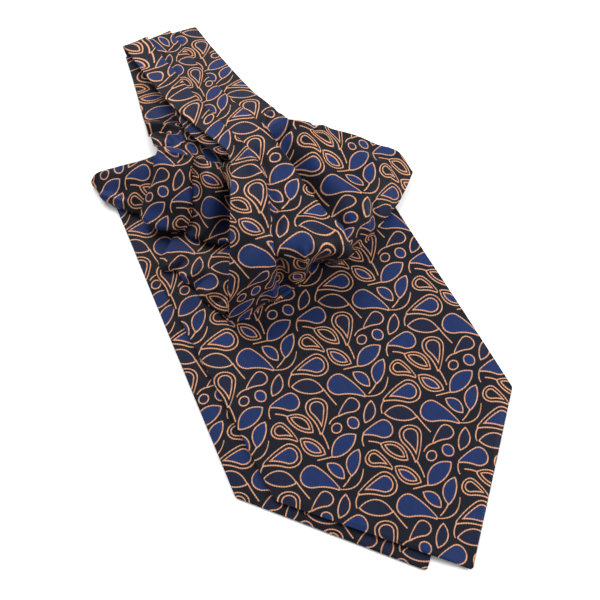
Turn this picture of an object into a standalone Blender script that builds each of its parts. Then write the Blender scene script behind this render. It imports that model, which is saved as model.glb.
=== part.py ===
"""Silk day cravat, folded in half at the middle of its neckband and laid on a flat surface.

The strip of silk lies doubled: the back blade is flat on the surface, the front blade lies on it,
and above both the cloth of each half is pushed up into a puffed fan that narrows into the
knife-pleated neckband. Each stretch of cloth is a thin wall with its own object.

Frame: +Y runs along the front blade from its point to the neckband, +X to the right, +Z up, and
the surface it lies on is Z = 0. Lengths below are in millimetres; the meshes are in metres.
"""

import math

import bpy
import numpy as np
from mathutils import Vector
from mathutils.bvhtree import BVHTree

for old in list(bpy.data.objects):
    bpy.data.objects.remove(old, do_unlink=True)

# ---------------------------------------------------------------- driving sizes, in millimetres
MM = 0.001
SEAM_GAP = 0.3            # clear space between neighbouring pieces of cloth
BLADE_WALL = 1.4          # doubled silk with its interlining
FAN_WALL = 1.3
BAND_WALL = 1.4
PLEAT_STEP = 1.2          # how far a pleat's folded edge stands above the next pleat

# Each blade: place of its tip, half widths left and right of the tip, rise from the tip to the
# left and right shoulder, and clockwise turn.
FRONT_BLADE = dict(tip=(0.9, -79.1), left=74.2, right=73.2, rise_left=80.5, rise_right=72.5,
                   turn=0.0)
BACK_BLADE = dict(tip=(-20.3, -67.9), left=77.2, right=70.0, rise_left=75.6, rise_right=75.6,
                  turn=math.radians(4.6))
EASE_START, EASE_END = 4.0, 20.0                   # the front blade sinks past the back one's edge

# Where each blade folds up under the heap: its length from the tip at places across it.
FRONT_BLADE_END = (  # across, along
    (-74, 234), (-58, 244), (-40, 262), (-10, 270), (24, 265), (50, 249), (73, 226))
BACK_BLADE_END = (
    (-77, 272), (-40, 273), (0, 266), (30, 256), (50, 240), (70, 218))

# Sections across each fan, from the neckband (t = 0) towards its rolled lower edge. Each section
# gives the place of the fan's fold lines from left to right.
FRONT_FAN = (
    # t,    left fold,              first pleat,          second pleat,         wing edge
    (0.00, (-5.5, 184.1, 43.3), (3.1, 183.4, 44.2), (19.8, 184.9, 43.6), (33.4, 187.9, 42.0)),
    (0.15, (-9.6, 171.6, 45.6), (3.8, 170.4, 46.6), (23.6, 168.6, 42.8), (42.5, 184.2, 37.6)),
    (0.35, (-17.2, 157.6, 47.0), (3.6, 156.8, 48.0), (26.6, 154.4, 38.2), (55.0, 177.4, 30.5)),
    (0.55, (-26.2, 141.0, 46.0), (0.2, 143.6, 48.0), (28.6, 141.2, 32.2), (69.5, 169.0, 23.5)),
    (0.75, (-36.0, 122.6, 41.0), (-5.6, 130.0, 44.8), (33.6, 130.2, 25.2), (81.0, 159.2, 17.5)),
    (0.90, (-44.6, 109.6, 24.0), (-11.6, 113.2, 27.0), (33.4, 116.4, 16.2), (92.6, 149.6, 12.4)),
)
FRONT_FAN_HEM = (  # place across (0 left fold, 1 and 2 pleats, 3 wing edge), x, y, z of its underside
    (0.00, -49.6, 102.6, 3.5), (0.33, -37.6, 102.2, 3.5), (0.67, -25.0, 104.8, 3.5),
    (1.00, -14.2, 103.0, 3.5), (1.30, 1.4, 106.2, 3.5), (1.48, 7.4, 110.0, 3.5),
    (1.68, 16.4, 105.4, 3.5), (2.00, 31.6, 105.0, 3.5), (2.20, 43.2, 107.8, 3.5),
    (2.38, 55.6, 114.6, 3.5), (2.60, 71.4, 121.6, 3.5), (2.80, 79.6, 126.0, 3.5),
    (3.00, 94.8, 137.6, 3.6))
FRONT_FAN_BULGE = (  # t, rise of each panel between its fold lines
    (0.00, 0.0, 0.0, 0.0), (0.35, 0.8, 2.2, 2.6), (0.75, 3.0, 5.5, 3.4), (1.00, 1.0, 1.0, 0.6))

FRONT_LEFT_WING = (  # t, inner edge under the side, crest, outer edge before its roll
    (0.00, (-12.0, 170.0, 6.0), (-30.0, 171.0, 6.0), (-47.0, 170.6, 6.0)),
    (0.25, (-17.0, 156.0, 6.1), (-42.0, 157.0, 6.5), (-65.6, 155.8, 6.6)),
    (0.50, (-23.0, 141.0, 6.4), (-42.0, 142.0, 8.4), (-59.0, 141.6, 6.9)),
    (0.75, (-31.0, 125.0, 6.4), (-43.0, 126.4, 8.8), (-54.4, 127.0, 7.0)),
    (1.00, (-40.0, 110.6, 6.0), (-44.4, 110.0, 6.7), (-48.6, 109.6, 6.3)),
)
LEFT_WING_EDGE = (  # t, x, y, z of its underside
    (0.00, -50.0, 171.0, 3.5), (0.13, -60.0, 163.6, 3.5), (0.25, -69.8, 156.0, 3.5),
    (0.34, -65.6, 149.6, 3.5), (0.42, -62.2, 144.8, 3.5), (0.55, -59.0, 136.0, 3.5),
    (0.70, -57.2, 127.6, 3.5), (0.85, -54.4, 118.4, 3.5), (1.00, -50.4, 108.8, 3.5))

BACK_FAN = (
    # t,    left fold,              crease,                 right end, against the front fan
    (0.00, (-38.4, 215.6, 24.6), (-23.4, 199.4, 26.5), (-7.2, 181.4, 28.3)),
    (0.25, (-43.4, 210.8, 22.8), (-27.6, 193.0, 23.6), (-10.0, 171.2, 26.4)),
    (0.50, (-50.6, 201.2, 18.2), (-32.6, 183.6, 20.6), (-14.4, 162.4, 23.0)),
    (0.75, (-60.4, 194.2, 13.4), (-37.8, 173.6, 17.2), (-19.2, 154.6, 19.4)),
    (0.90, (-64.0, 190.6, 11.0), (-42.2, 168.0, 13.8), (-22.2, 149.4, 15.6)),
)
BACK_FAN_HEM = (  # place across (0 left fold, 1 crease, 2 right end), x, y, z of its underside
    (0.00, -65.6, 189.0, 6.6), (0.20, -65.2, 184.6, 6.8), (0.40, -62.4, 179.0, 7.0),
    (0.75, -53.0, 170.6, 7.2), (1.00, -46.0, 167.0, 7.3), (1.12, -45.2, 162.0, 7.4),
    (1.40, -41.2, 157.8, 7.8), (1.62, -36.8, 152.2, 8.2), (2.00, -24.4, 146.2, 9.0))
BACK_FAN_BULGE = ((0.00, 0.0, 0.0), (0.40, 2.0, 2.4), (0.80, 2.6, 2.2), (1.00, 0.8, 0.8))

BACK_WING = (  # t, inner edge under the left fold, wing edge
    (0.00, (-38.6, 213.4, 20.6), (-41.6, 216.0, 18.0)),
    (0.30, (-42.4, 208.0, 19.2), (-52.0, 219.8, 13.4)),
    (0.60, (-49.6, 199.6, 14.2), (-66.0, 225.2, 9.6)),
    (0.85, (-58.0, 192.8, 9.4), (-78.0, 228.6, 6.6)),
)
BACK_WING_HEM = (  # place across (0 inner edge, 1 wing edge), x, y, z of its underside
    (0.00, -61.6, 188.6, 1.8), (0.20, -66.4, 194.6, 1.8), (0.40, -72.0, 200.8, 1.8),
    (0.60, -76.2, 206.0, 1.8), (0.80, -79.4, 213.8, 1.8), (1.00, -82.4, 226.6, 1.8))

BAND_UPPER = (  # t, left edge, right edge, first pleat's place across
    (0.00, (-5.2, 184.9, 43.1), (33.2, 188.9, 41.7), 0.22),
    (0.15, (-9.9, 200.8, 38.6), (30.4, 204.4, 37.4), 0.25),
    (0.30, (-14.4, 219.6, 32.6), (27.8, 220.6, 32.2), 0.29),
    (0.45, (-18.4, 238.2, 27.0), (26.6, 237.6, 26.6), 0.32),
    (0.65, (-20.6, 261.3, 20.2), (25.7, 258.2, 19.8), 0.325),
    (0.85, (-22.0, 284.0, 14.0), (24.7, 279.0, 13.8), 0.325),
    (1.00, (-23.4, 303.6, 10.2), (24.0, 294.6, 10.2), 0.325),
)
BAND_SECOND_PLEAT = 0.65      # the second pleat's place across
TURN_RADIUS = 5.05            # of the band's turn at its far end
BAND_LOWER = (  # t, left edge, right edge
    (0.00, (-24.6, 303.6, 1.7), (22.8, 294.6, 1.7)),
    (0.20, (-27.6, 287.0, 2.6), (17.6, 277.0, 2.4)),
    (0.42, (-31.4, 268.0, 5.0), (11.0, 256.0, 5.0)),
    (0.64, (-35.6, 248.0, 10.0), (6.6, 231.0, 11.0)),
    (0.84, (-38.0, 231.0, 17.6), (0.6, 206.0, 20.0)),
    (1.00, (-37.5, 216.6, 24.5), (-6.3, 182.0, 28.3)),
)
# Where the blades' grids have their points: across, as shares of each half width, and along.
BLADE_PLACES = (-1, -0.97, -0.8, -0.55, -0.3, 0, 0.15, 0.3, 0.44, 0.57, 0.68, 0.78, 0.87, 0.94, 1)
POINT_ROWS = (0.9, 8, 16, 25, 34, 43, 52, 62)      # along the blade, from its tip
PLAIN_ROWS = (96, 112, 130, 148, 170)
END_ROWS = 5                  # the last rows run out to the folded end

PLEAT_SHOWS = 4.2             # how far the first pleat's under layer shows past the band's edge
SIDE_TUCK = 2.6               # how far the cloth under the front fan's left fold leans in
SIDE_FOOT = 8.4               # height of its lower edge

CORE_CLEAR = 0.75             # clear room round the hidden layers
CORE_EDGE = 0.8               # how round each hidden layer's edge is
CORE_TALL = 36.0              # the front core leans towards the crest of the heap over this height

SILK_NAVY = (0.016, 0.020, 0.040)
SILK_BLUE = (0.030, 0.052, 0.210)


# ------------------------------------------------------------------------------- shape helpers
def smooth(knots, values, at):
    """Smooth cubic curve through the values at the knots, read at the places `at`."""
    knots = np.asarray(knots, float)
    values = np.asarray(values, float)
    slope = np.gradient(values, knots, axis=0)
    k = np.clip(np.searchsorted(knots, at, side="right") - 1, 0, len(knots) - 2)
    span = (knots[k + 1] - knots[k]).reshape((-1,) + (1,) * (values.ndim - 1))
    u = (np.asarray(at) - knots[k]).reshape(span.shape) / span
    a = 2 * u ** 3 - 3 * u ** 2 + 1
    b = u ** 3 - 2 * u ** 2 + u
    c = -2 * u ** 3 + 3 * u ** 2
    d = u ** 3 - u ** 2
    return (a * values[k] + b * span * slope[k] + c * values[k + 1] + d * span * slope[k + 1])


def table_curve(table, at):
    """Smooth curve through a table whose first column is the place along it."""
    rows = np.array(table, float)
    return smooth(rows[:, 0], rows[:, 1:], np.asarray(at, float))


def vertex_normals(grid):
    """Unit normal at each point of a grid, and how much a bend there lengthens an offset."""
    rows, cols = grid.shape[:2]
    along = grid[1:, :] - grid[:-1, :]
    across = grid[:, 1:] - grid[:, :-1]
    total = np.zeros_like(grid)
    faces = []
    for di in (0, 1):
        for dj in (0, 1):
            n = np.cross(along[:, dj:cols - 1 + dj], across[di:rows - 1 + di, :])
            n /= np.maximum(np.linalg.norm(n, axis=2, keepdims=True), 1e-9)
            part = np.zeros_like(grid)
            part[di:rows - 1 + di, dj:cols - 1 + dj] = n
            faces.append(part)
            total += part
    unit = total / np.maximum(np.linalg.norm(total, axis=2, keepdims=True), 1e-9)
    lean = np.ones(grid.shape[:2])
    for part in faces:
        used = np.linalg.norm(part, axis=2) > 0.5
        dot = (part * unit).sum(axis=2)
        lean = np.where(used, np.minimum(lean, dot), lean)
    return unit, 1.0 / np.clip(lean, 0.62, 1.0)


def inside_of(grid, wall):
    """The grid's other face, one wall thickness in."""
    unit, longer = vertex_normals(grid)
    return grid - unit * (wall * longer)[:, :, None]


def material(name, color, roughness=0.42):
    mat = bpy.data.materials.new(name)
    mat.use_nodes = True
    shader = mat.node_tree.nodes["Principled BSDF"]
    shader.inputs["Base Color"].default_value = (*color, 1.0)
    shader.inputs["Roughness"].default_value = roughness
    shader.inputs["Metallic"].default_value = 0.0
    return mat


def make_object(name, points, faces, color):
    """Closed mesh object from points in millimetres, with its faces turned outwards."""
    points = np.asarray(points, float)
    volume = 0.0
    for face in faces:
        a = points[face[0]]
        for k in range(1, len(face) - 1):
            volume += np.dot(a, np.cross(points[face[k]], points[face[k + 1]]))
    if volume < 0:
        faces = [tuple(reversed(face)) for face in faces]
    mesh = bpy.data.meshes.new(name)
    mesh.from_pydata((points * MM).tolist(), [], faces)
    mesh.validate()
    mesh.shade_smooth()
    mesh.set_sharp_from_angle(angle=math.radians(35))
    mesh.materials.append(material(name + "_silk", color))
    obj = bpy.data.objects.new(name, mesh)
    bpy.context.scene.collection.objects.link(obj)
    return obj


def make_wall(name, outer, inner, color):
    """Wall of cloth between two grids of points, closed round its border."""
    rows, cols = outer.shape[:2]
    count = rows * cols
    faces = []
    for i in range(rows - 1):
        for j in range(cols - 1):
            a, b, c, d = i * cols + j, i * cols + j + 1, (i + 1) * cols + j + 1, (i + 1) * cols + j
            faces.append((a, d, c, b))
            faces.append((a + count, b + count, c + count, d + count))
    border = ([(0, j) for j in range(cols)] + [(i, cols - 1) for i in range(1, rows)]
              + [(rows - 1, j) for j in range(cols - 2, -1, -1)]
              + [(i, 0) for i in range(rows - 2, 0, -1)])
    ring = [i * cols + j for i, j in border]
    for a, b in zip(ring, ring[1:] + ring[:1]):
        faces.append((a, b, b + count, a + count))
    points = np.concatenate([outer.reshape(-1, 3), inner.reshape(-1, 3)])
    return make_object(name, points, faces, color)


# -------------------------------------------------------------------------------------- blades
def past_blade(blade, x, y):
    """How far a point lies outside a blade's right side and point (negative inside it)."""
    dx, dy = x - blade["tip"][0], y - blade["tip"][1]
    c, s = math.cos(blade["turn"]), math.sin(blade["turn"])
    across, along = dx * c - dy * s, dx * s + dy * c
    lean = math.atan2(blade["right"], blade["rise_right"])
    return np.maximum(across - blade["right"],
                      np.abs(across) * math.cos(lean) - along * math.sin(lean))


def blade_grid(blade, end, rows, fractions):
    """Plan of a pointed blade from its tip upwards; its last rows run out to the folded end."""
    along = np.repeat(np.array(rows, float)[:, None], len(fractions), axis=1)
    f = np.repeat(np.array(fractions, float)[None, :], len(rows), axis=0)
    left = blade["left"] * np.minimum(1.0, along / blade["rise_left"])
    right = blade["right"] * np.minimum(1.0, along / blade["rise_right"])
    across = np.where(f < 0, f * left, f * right)
    ends = np.array(end, float)
    last = len(rows) - END_ROWS
    top = np.interp(across[-1], ends[:, 0], ends[:, 1])
    for i in range(last + 1, len(rows)):
        along[i] = along[last] + (top - along[last]) * (i - last) / (END_ROWS - 1)
    c, s = math.cos(blade["turn"]), math.sin(blade["turn"])
    return (blade["tip"][0] + across * c + along * s, blade["tip"][1] - across * s + along * c)


def make_blades():
    rows = POINT_ROWS + (FRONT_BLADE["rise_right"], FRONT_BLADE["rise_left"]) + PLAIN_ROWS
    x, y = blade_grid(FRONT_BLADE, FRONT_BLADE_END, rows, BLADE_PLACES)
    past = np.clip((past_blade(BACK_BLADE, x, y) - EASE_START) / (EASE_END - EASE_START), 0, 1)
    lift = (BLADE_WALL + SEAM_GAP + 0.05) * (1 - past * past * (3 - 2 * past))
    make_wall("front_blade", np.dstack([x, y, lift + BLADE_WALL]), np.dstack([x, y, lift]),
              SILK_NAVY)

    rows = POINT_ROWS[::2] + (BACK_BLADE["rise_left"],) + PLAIN_ROWS
    places = [f for f in BLADE_PLACES if f <= 0] + [0.3, 0.55, 0.8, 1]
    x, y = blade_grid(BACK_BLADE, BACK_BLADE_END, rows, places)
    flat = np.zeros_like(x)
    make_wall("back_blade", np.dstack([x, y, flat + BLADE_WALL]), np.dstack([x, y, flat]),
              SILK_NAVY)


# ---------------------------------------------------------------------------------------- fans
def across_sections(table, t, place):
    """Grid from a table of sections: each row's fold lines, read between them at `place`."""
    knots = [row[0] for row in table]
    lines = np.array([[np.array(p, float) for p in row[1:]] for row in table])
    rows = smooth(knots, lines, np.asarray(t, float))
    low = np.clip(np.floor(place).astype(int), 0, lines.shape[1] - 2)
    f = (place - low)[None, :, None]
    return rows[:, low] * (1 - f) + rows[:, low + 1] * f


def fan_grid(table, hem, bulges, t, place):
    """A fan's outer face: sections down to t = 0.9, then out and down to its rolled lower edge."""
    knots = [row[0] for row in table] + [1.0]
    upper = across_sections(table, knots[:-1], place)
    edge = table_curve(hem, place)
    edge[:, 2] += 3.4
    grid = smooth(knots, np.concatenate([upper, edge[None]]), np.asarray(t, float))
    rise = table_curve(bulges, t)
    low = np.clip(np.floor(place).astype(int), 0, rise.shape[1] - 1)
    f = place - low
    grid[:, :, 2] += rise[:, low] * np.sin(np.pi * f)[None, :]
    return grid


def roll_under(grid, hem, place, reach=(0.9, 0.2, -2.0, -4.5), turn=(1.6, 0.42, 0.0, 0.0)):
    """Adds the rows of the soft roll by which a fan's lower edge turns under itself."""
    edge = table_curve(hem, place)
    ahead = np.gradient(edge[:, :2], axis=0)
    out = np.stack([ahead[:, 1], -ahead[:, 0]], axis=1)
    out /= np.linalg.norm(out, axis=1, keepdims=True)
    out = (out + np.roll(out, 1, 0) + np.roll(out, -1, 0))
    out[0], out[-1] = out[1], out[-2]
    out /= np.linalg.norm(out, axis=1, keepdims=True)
    rows = [grid]
    for step, height in zip(reach, turn):
        row = edge.copy()
        row[:, :2] += out * step
        row[:, 2] += height
        rows.append(row[None])
    return np.concatenate(rows)


def pleated(grid, t, place, pleats):
    """Raises each pleat towards its folded right edge.

    pleats gives each one's place across, the t by which it has opened flat, and its height.
    """
    raised = grid.copy()
    unit, _ = vertex_normals(grid)
    for line, opens, height in pleats:
        f = np.clip(place - (line - 1), 0, 1) * (place <= line)
        fade = np.clip((opens - t) / 0.25, 0, 1)
        raised[:len(t)] += unit[:len(t)] * (height * fade[:, None] * (f ** 1.6)[None, :])[:, :, None]
    return raised


def places(*panels):
    """Places across the fan, with a close pair of columns at each pleat's folded edge."""
    cols = []
    for k, count in enumerate(panels):
        start = 0.0 if k == 0 else 0.045
        cols += list(k + start + (1 - start) * np.linspace(0, 1, count))
    return np.array(cols)


def make_front_fan():
    t = np.array([0, 0.06, 0.13, 0.2, 0.28, 0.36, 0.45, 0.54, 0.63, 0.71, 0.78, 0.84, 0.9, 0.95, 1.0])
    place = places(6, 8, 11)
    base = fan_grid(FRONT_FAN, FRONT_FAN_HEM, FRONT_FAN_BULGE, t, place)
    base = roll_under(base, FRONT_FAN_HEM, place)
    outer = pleated(base, t, place, ((1.0, 0.8, PLEAT_STEP), (2.0, 1.05, PLEAT_STEP + 0.3)))
    make_wall("front_fan", outer, inside_of(base, FAN_WALL), SILK_BLUE)
    make_front_side(base, t)


def make_front_side(base, t):
    """The cloth that turns down under the front fan's long left fold, made from its points."""
    unit, _ = vertex_normals(base)
    rows = [i for i, at in enumerate(t) if at <= 0.85]
    fold = (base - unit * (FAN_WALL + SEAM_GAP + 0.2))[rows, 0]
    ahead = np.gradient(fold[:, :2], axis=0)
    side = np.stack([-ahead[:, 1], ahead[:, 0]], axis=1)
    side /= np.linalg.norm(side, axis=1, keepdims=True)
    columns = []
    for down in np.linspace(1, 0, 6):
        point = fold.copy()
        point[:, :2] += side * (0.3 + SIDE_TUCK * math.sin(math.pi * 0.5 * down))
        point[:, 2] += (SIDE_FOOT - fold[:, 2]) * down
        columns.append(point)
    grid = np.stack(columns, axis=1)
    inner = grid.copy()
    inner[:, :, :2] += side[:, None, :] * FAN_WALL
    inner[:, -1, 2] -= 0.5
    make_wall("front_fan_side", grid, inner, SILK_NAVY)


def make_left_wing():
    t = np.linspace(0, 1, 13)
    place = np.linspace(0, 2, 9)
    upper = across_sections(FRONT_LEFT_WING, t, place)[:, ::-1]
    edge = table_curve(LEFT_WING_EDGE, t)
    cols = [upper]
    ahead = np.gradient(edge[:, :2], axis=0)
    out = np.stack([ahead[:, 1], -ahead[:, 0]], axis=1)
    out /= np.linalg.norm(out, axis=1, keepdims=True)
    for step, height in ((0.2, 1.5), (-0.3, 0.1)):
        col = edge.copy()
        col[:, :2] += out * step
        col[:, 2] += height
        cols.insert(0, col[:, None])
    grid = np.concatenate(cols, axis=1)
    make_wall("front_fan_left_wing", grid, inside_of(grid, 1.0), SILK_NAVY)


def make_back_fan():
    t = np.array([0, 0.1, 0.2, 0.3, 0.4, 0.5, 0.6, 0.7, 0.79, 0.87, 0.94, 1.0])
    place = places(8, 9)
    base = fan_grid(BACK_FAN, BACK_FAN_HEM, BACK_FAN_BULGE, t, place)
    base = roll_under(base, BACK_FAN_HEM, place, reach=(0.7, 0.0, -2.0, -4.0))
    outer = pleated(base, t, place, ((1.0, 1.1, PLEAT_STEP),))
    make_wall("back_fan", outer, inside_of(base, FAN_WALL), SILK_BLUE)

    t = np.array([0, 0.12, 0.24, 0.36, 0.48, 0.6, 0.7, 0.8, 0.9, 1.0])
    place = np.linspace(0, 1, 9)
    flat = ((0.0, 0.0), (0.5, 0.8), (1.0, 0.3))
    grid = fan_grid(BACK_WING, [(*row[:3], row[3] - 1.2) for row in BACK_WING_HEM], flat, t, place)
    grid = roll_under(grid, BACK_WING_HEM, place, reach=(0.6, 0.1), turn=(1.3, 0.1))
    make_wall("back_fan_wing", grid, inside_of(grid, 1.0), SILK_NAVY)


# ------------------------------------------------------------------------------------ neckband
def band_places(count=4):
    """Columns across the band: three strips, with a close pair at each folded edge."""
    f = np.linspace(0, 1, count)
    return np.concatenate([f, 1.06 + 0.94 * f, 2.04 + 0.96 * f])


def band_grid(table, t, place, first=None):
    knots = np.array([row[0] for row in table])
    ends = np.array([[row[1], row[2]] for row in table], float)
    rows = smooth(knots, ends, t)
    if first is None:
        first = np.interp(t, knots, [row[3] for row in table])
    bounds = np.stack([np.zeros_like(t), first, np.full_like(t, BAND_SECOND_PLEAT),
                       np.ones_like(t)], axis=1)
    low = np.clip(np.floor(place).astype(int), 0, 2)
    f = bounds[:, low] + (bounds[:, low + 1] - bounds[:, low]) * (place - low)[None, :]
    return rows[:, :1] * (1 - f[:, :, None]) + rows[:, 1:] * f[:, :, None]


def strip_rise(place):
    """Rise of each pleated strip towards its folded edge; the last strip lies flat."""
    low = np.clip(np.floor(place).astype(int), 0, 2)
    return np.where(low < 2, PLEAT_STEP * (place - low) ** 1.4, 0.0)


def make_neckband():
    t = np.array([0, 0.08, 0.16, 0.25, 0.35, 0.45, 0.56, 0.67, 0.78, 0.89, 1.0])
    place = band_places()
    top = band_grid(BAND_UPPER, t, place)
    ends = top[-1]
    ahead = np.array([-0.02, 1.0])
    rows = [top]
    for angle in (25, 50, 75, 100, 125, 150, 172):
        a = math.radians(angle)
        row = ends.copy()
        row[:, :2] += ahead * (TURN_RADIUS * math.sin(a))
        row[:, 2] = TURN_RADIUS * (1 + math.cos(a)) + 0.1 * (1 + math.cos(a)) / 2
        rows.append(row[None])
    base = np.concatenate(rows)[::-1]
    base[:, :, 2] = np.maximum(base[:, :, 2], 0.0)
    unit, _ = vertex_normals(base)
    fade = np.concatenate([[0, 0, 0.2, 0.5, 0.8, 1, 1], np.ones(len(t))])
    outer = base + unit * (fade[:, None] * strip_rise(place)[None, :])[:, :, None]
    make_wall("neckband_upper", outer, inside_of(base, BAND_WALL), SILK_BLUE)

    shows = np.array([0.0, 0.08, 0.16, 0.25, 0.35, 0.45])
    place = np.array([0.0, 0.25, 0.5, 0.75, 1.0])
    layer = band_grid(BAND_UPPER, shows, place)
    unit, _ = vertex_normals(layer[::-1])
    unit = unit[::-1]
    under = layer - unit * (BAND_WALL + SEAM_GAP + 0.05)
    slip = PLEAT_SHOWS * np.sin(np.pi * np.clip(0.12 + shows / 0.5, 0, 1)) ** 0.7
    under[:, :, 0] -= slip[:, None] * (1 - place)[None, :] + 0.2
    under[:, :, 2] -= (2.6 * (1 - place) ** 2)[None, :]
    make_wall("neckband_pleat", under, inside_of(under[::-1], 1.0)[::-1], SILK_NAVY)

    t = np.array([0, 0.1, 0.2, 0.3, 0.4, 0.5, 0.6, 0.7, 0.8, 0.9, 1.0])
    place = band_places()
    base = band_grid(BAND_LOWER, t, place, first=np.full_like(t, 0.32))
    outer = base.copy()
    outer[:, :, 2] += (0.6 * strip_rise(place))[None, :]
    make_wall("neckband_lower", outer, inside_of(base, BAND_WALL), SILK_BLUE)


# --------------------------------------------------------------------------------- folded cores
def room_around(walls):
    """Search tree over all the walls, for how much clear room a hidden layer has."""
    points, faces = [], []
    for obj in walls:
        start = len(points)
        points += [v.co.copy() for v in obj.data.vertices]
        faces += [tuple(start + k for k in poly.vertices) for poly in obj.data.polygons]
    return BVHTree.FromPolygons(points, faces)


def reach(tree, centre, angle, height, limit, clear):
    """How far the hidden layers run out from the centre, under cover and clear of the walls."""
    far = 0.0
    direction = Vector((math.cos(angle), math.sin(angle), 0.0))
    for r in np.arange(0.0, limit, 1.0):
        point = (Vector((centre[0], centre[1], height)) + direction * float(r)) * MM
        roof = tree.ray_cast(point, Vector((0, 0, 1)))
        near = tree.find_nearest(point)
        if roof[0] is None or near[3] < clear * MM:
            break
        far = float(r)
    return far


def make_core(name, centre, top_centre, bottom, layer, tree, limit=140.0, around=44):
    """Hidden layers as one rounded solid: a stack of soft-edged layers under a fan."""
    angles = [2 * math.pi * k / around for k in range(around)]
    rings = []
    height = bottom
    while True:
        share = min(1.0, (height - bottom) / CORE_TALL)
        mid = [a + (b - a) * share for a, b in zip(centre, top_centre)]
        radii = []
        for angle in angles:
            radii.append(min(reach(tree, mid, angle, height + part * layer + 0.01, limit, CORE_CLEAR)
                             for part in (0.0, 0.5, 1.0)))
        radii = np.minimum(radii, np.minimum(np.roll(radii, 1), np.roll(radii, -1)))
        for _ in range(3):
            radii = np.minimum(radii, np.minimum(np.roll(radii, 1), np.roll(radii, -1)) * 1.15 + 1.5)
        if radii.min() < 3.0:
            break
        for part, inset in ((0.06, CORE_EDGE), (0.5, 0.0), (0.94, CORE_EDGE)):
            rings.append([(mid[0] + (r - inset) * math.cos(a), mid[1] + (r - inset) * math.sin(a),
                           height + part * layer) for r, a in zip(radii, angles)])
        height += layer
    points = [p for ring in rings for p in ring]
    faces = []
    for k in range(len(rings) - 1):
        for i in range(around):
            j = (i + 1) % around
            faces.append((k * around + i, k * around + j, (k + 1) * around + j, (k + 1) * around + i))
    low, top = len(points), len(points) + 1
    points += [(*centre, rings[0][0][2]), (*mid, rings[-1][0][2])]
    last = (len(rings) - 1) * around
    for i in range(around):
        j = (i + 1) % around
        faces.append((low, j, i))
        faces.append((top, last + i, last + j))
    make_object(name, points, faces, SILK_NAVY)


make_blades()
make_front_fan()
make_left_wing()
make_back_fan()
make_neckband()
bpy.context.view_layer.update()
covers = room_around([obj for obj in bpy.data.objects if "blade" not in obj.name])
make_core("front_core", (24.0, 150.0), (2.0, 152.0), 3.5, 4.0, covers, around=38)
make_core("back_core", (-38.0, 190.0), (-34.0, 192.0), 3.5, 3.0, covers, limit=60.0, around=28)
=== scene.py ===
"""Silk day cravat, folded at its neckband and laid down: cloth, woven silk and stage.

Sizes are millimetres in the part's frame, unless a comment says otherwise. In each table of a cloth,
t runs down it from its folded or joined end, and a place counts its fold lines across."""

import math

import bpy
import numpy as np
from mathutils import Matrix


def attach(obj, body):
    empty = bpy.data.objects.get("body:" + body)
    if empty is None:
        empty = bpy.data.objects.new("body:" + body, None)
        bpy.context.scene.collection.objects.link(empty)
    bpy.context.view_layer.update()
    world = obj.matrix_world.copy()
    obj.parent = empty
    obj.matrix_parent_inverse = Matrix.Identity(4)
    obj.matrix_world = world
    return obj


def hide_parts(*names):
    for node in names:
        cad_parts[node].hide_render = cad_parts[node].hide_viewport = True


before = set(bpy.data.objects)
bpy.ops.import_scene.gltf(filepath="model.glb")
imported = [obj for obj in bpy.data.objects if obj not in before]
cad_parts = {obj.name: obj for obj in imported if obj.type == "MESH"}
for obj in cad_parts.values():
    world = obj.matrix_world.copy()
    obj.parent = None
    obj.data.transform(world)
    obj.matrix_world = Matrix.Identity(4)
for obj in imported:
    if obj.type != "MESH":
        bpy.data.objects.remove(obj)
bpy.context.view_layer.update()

bl_info = {
    "name": "Silk Cravat",
    "version": (1, 0, 0),
    "blender": (4, 5, 0),
    "location": "3D View > Sidebar > Cravat",
    "description": "Folded silk cravat: cloth pieces, jacquard silk and a plain stage",
    "category": "Object",
}

MM = 0.001
BODY = "root"
CLOTH_MAP = "cloth"           # UV map: each point's place on the flat cloth, in millimetres

# ------------------------------------------------------------------------------ sizes of the cloth
# Walls of doubled silk.
BLADE_WALL = 1.4
FAN_WALL = 1.0
BAND_WALL = 1.0
WING_WALL = 0.9
BLADE_GAP = 0.35              # between the front blade and the back one
PLEAT_HIDES = (22.0, 9.0)     # cloth that each knife pleat takes in, as a shift of the woven pattern

# Places of the woven pattern on the two blades, the two halves' fans and bands, and other pieces.
FRONT_BLADE_SHIFT, BACK_BLADE_SHIFT = (2.0, 0.0), (11.0, 4.0)
FRONT_SHIFT, BACK_SHIFT = (18.0, 2.0), (-3.0, 21.0)
SIDE_SHIFT, UNDER_LAYER_SHIFT = (20.0, 7.0), (31.0, 16.0)
LEFT_WING_SHIFT, BACK_WING_SHIFT = (9.0, -6.0), (14.0, -8.0)

FRONT_BLADE = dict(tip=(0.9, -79.1), left=74.2, right=73.2, rise_left=80.5, rise_right=72.5,
                   turn=0.0)
BACK_BLADE = dict(tip=(-20.3, -67.9), left=77.2, right=70.0, rise_left=75.6, rise_right=75.6,
                  turn=math.radians(4.6))
CORNER = 0.8                  # how softly a blade's corners are rounded
BLADE_LENGTH = 250.0          # from a blade's point to its folded end, before that end's own shape
BLADE_JOIN = 180.0            # where the folded end's shape starts
BLADE_THIN, BLADE_THINS = 0.55, 0.08   # wall at an edge and the strip it grows over, both as shares
BLADE_DROP = (3.0, 22.0)      # distances past the back blade over which the front one comes down
BLADE_WAVES = (0.22, 0.10, 30.0)   # lift, height and size of the front blade's slow unevenness
BLADE_LIFT, BLADE_LIFT_WIDTH = 0.6, 20.0   # how far its free edges rise, and over what width
FAN_EDGE = (60, 90)           # y over which the fans start to hold the front blade down
BLADE_FREE_LEFT = 90          # how much farther up its left edge stays free

FRONT_BLADE_END = (  # across, along
    (-74, 234), (-58, 244), (-40, 262), (-10, 270), (24, 265), (50, 249), (73, 226))
BACK_BLADE_END = (
    (-77, 272), (-40, 273), (0, 266), (30, 256), (50, 240), (70, 218))

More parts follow.
